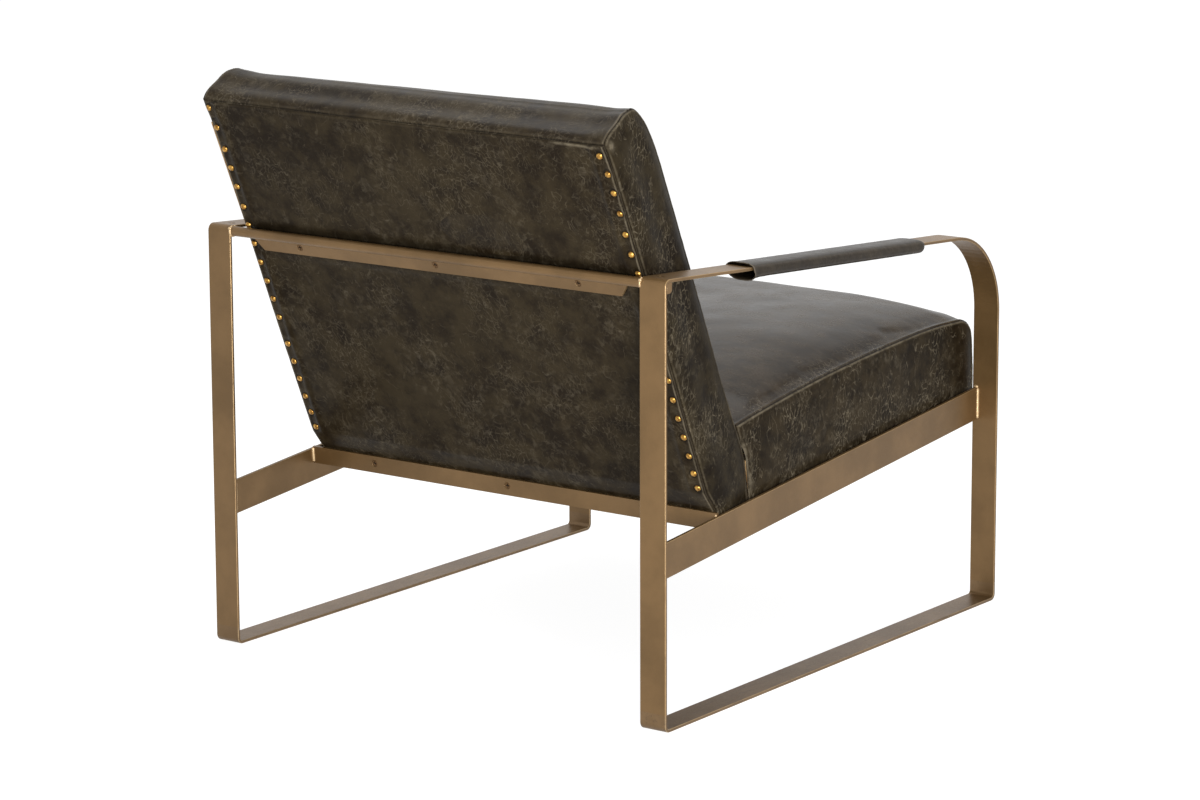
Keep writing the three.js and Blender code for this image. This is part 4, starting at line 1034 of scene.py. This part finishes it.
# ---- screws
def screw(name, place, turn, to_world, length=26.0, tip=5.0):
    """Countersunk screw with a cross recess, in place of its plain solid."""
    around = 48
    a = angles(around)
    v, recess = [], []
    for r in np.r_[0.02, np.arange(0.35, 4.4, 0.27), 4.5]:
        x, y = r * np.cos(a), r * np.sin(a)
        inside = np.maximum(*(smooth(0.85 - np.abs(p), 0, 0.3) * smooth(3.0 - np.abs(q), 0, 0.5)
                              for p, q in ((x, y), (y, x))))
        v.append(np.column_stack([x, y, -1.9 * inside * (1 - 0.22 * r) - 0.25 * smooth(r, 4.0, 4.6)]))
        # marks the cross recess, which the screw material paints near black as painted shade
        recess.append(inside)
    for r, z in ((4.6, -0.5), (2.2, -2.8), (2.2, tip - length), (0.02, -length)):
        v.append(np.column_stack([r * np.cos(a), r * np.sin(a), np.full(around, z)]))
        recess.append(np.zeros(around))
    x, y, z = np.vstack(v).T
    c, s = cos(turn), sin(turn)
    points = np.column_stack([x, y * c - z * s, y * s + z * c]) + np.asarray(place)
    obj = make(f"{name}_head", to_world(points), grid_faces(len(v), around, 0, close=True)[:, ::-1],
               screw_metal, {"recess": np.concatenate(recess)})
    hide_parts(name)


for hand, across in (("right", -screw_spacing), ("middle", 0.0), ("left", screw_spacing)):
    screw(f"back_plate_screw_{hand}", (across, 4.1, 331.81), -pi / 2, from_back)
    screw(f"rear_angle_screw_{hand}", (across, 228.3, 38.136), -pi / 2, from_seat)
    screw(f"front_angle_screw_{hand}", (across, -379.5, 24.996), pi, from_seat)
for hand, side in hands:
    screw(f"arm_screw_{hand}", (side * 342.0, 369.0, arm_top(369.0) - 0.2), arm_angle, from_loop, 3.8, 0.0)


# ---- dust cover, stapled under the seat
cover_half, cover_front, cover_rear, cover_height = 312.1, -349.7, 139.2, 28.4
staple_pitch = 38
columns, rows = 130, 104
g, h = np.meshgrid(np.linspace(-1, 1, columns), np.linspace(0, 1, rows), indexing="ij")
x = g * cover_half
y = cover_front + (cover_rear - cover_front) * h
from_side = (1 - np.abs(g)) * cover_half
from_end = np.minimum(h, 1 - h) * (cover_rear - cover_front)
edge_gap = np.minimum(from_side, from_end)
inside = smooth(edge_gap, 22, 120)
drawn = np.cos(2 * pi * np.where(from_side < from_end, y, x) / staple_pitch) + 1
z = cover_height - 3.4 * inside - 0.8 * ripples(x, y, 90, 12.0) * inside
z = z - 0.5 * drawn * smooth(edge_gap, 5, 14) * np.exp(-edge_gap / 26) - 0.5 * smooth(9.5 - edge_gap, 0, 1)
cover = make("dust_cover_sheet", from_seat(np.column_stack([x.ravel(), y.ravel(), z.ravel()])),
             grid_faces(columns, rows)[:, ::-1], lining_cloth)
thicken(cover, 0.0008, 0)
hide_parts("seat_dust_cover")

spots = [(s * (cover_half - 5), y, (0.55, 5.0, 0.35)) for s in (-1, 1)
         for y in np.arange(cover_front + 19, cover_rear - 10, staple_pitch)]
spots += [(x, y, (5.0, 0.55, 0.35)) for y in (cover_front + 5, cover_rear - 5)
          for x in np.arange(-cover_half + 27, cover_half - 20, staple_pitch)]
corners = np.array([(i, j, k) for i in (-1, 1) for j in (-1, 1) for k in (-1, 1)], float)
box_faces = np.array([(0, 1, 3, 2), (4, 6, 7, 5), (0, 4, 5, 1), (2, 3, 7, 6), (0, 2, 6, 4), (1, 5, 7, 3)])
v = np.vstack([corners * size + (x, y, cover_height - 1.35) for x, y, size in spots])
faces = np.vstack([box_faces + len(corners) * i for i in range(len(spots))])
make("dust_cover_staples", from_seat(v), faces, bead_metal, shade=False)


# ---- floor, world and lamps
white = (1, 1, 1, 1)
g = Graph("floor_white")
diffuse = g.node("BsdfDiffuse", {"Color": (0.36, 0.36, 0.36, 1)}).outputs[0]
glow = g.node("Emission", {"Color": white, "Strength": g.times(g.seen(), 0.89)}).outputs[0]
total = g.node("AddShader", {0: diffuse, 1: glow}).outputs[0]
g.feed(g.tree.nodes["Material Output"].inputs["Surface"], total)
g.tree.nodes.remove(g.shader)

floor_mesh = bpy.data.meshes.new("floor")
reach = 40.0
floor_mesh.from_pydata([(-reach, -reach, 0), (reach, -reach, 0), (reach, reach, 0), (-reach, reach, 0)],
                       [], [(0, 1, 2, 3)])
floor = bpy.data.objects.new("floor", floor_mesh)
floor_mesh.materials.append(g.owner)
scene.collection.objects.link(floor)

scene.world = bpy.data.worlds.new("world")
g = Graph("world", scene.world)
background = g.tree.nodes["Background"]
background.inputs[0].default_value = white
g.feed(background.inputs[1], g.ramp(g.seen(), 0.0, 1.0, 0.41, 1.0, "LINEAR"))


def lamp(name, place, target, size, watts):
    """An area lamp; its places and sizes are in metres."""
    light = bpy.data.lights.new(name, "AREA")
    light.shape = "RECTANGLE"
    light.size, light.size_y = size
    light.energy = watts
    obj = bpy.data.objects.new(name, light)
    obj.location = place
    obj.rotation_euler = (Vector(target) - Vector(place)).to_track_quat("-Z", "Y").to_euler()
    scene.collection.objects.link(obj)


lamp("key", (-2.2, 2.3, 0.6), (-0.3, 0.3, 0.3), (0.9, 1.0), 84)
lamp("top", (0.2, -0.4, 3.2), (0, 0, 0.3), (2.4, 2.4), 52)

scene.view_settings.view_transform = "Standard"

bpy.context.view_layer.update()
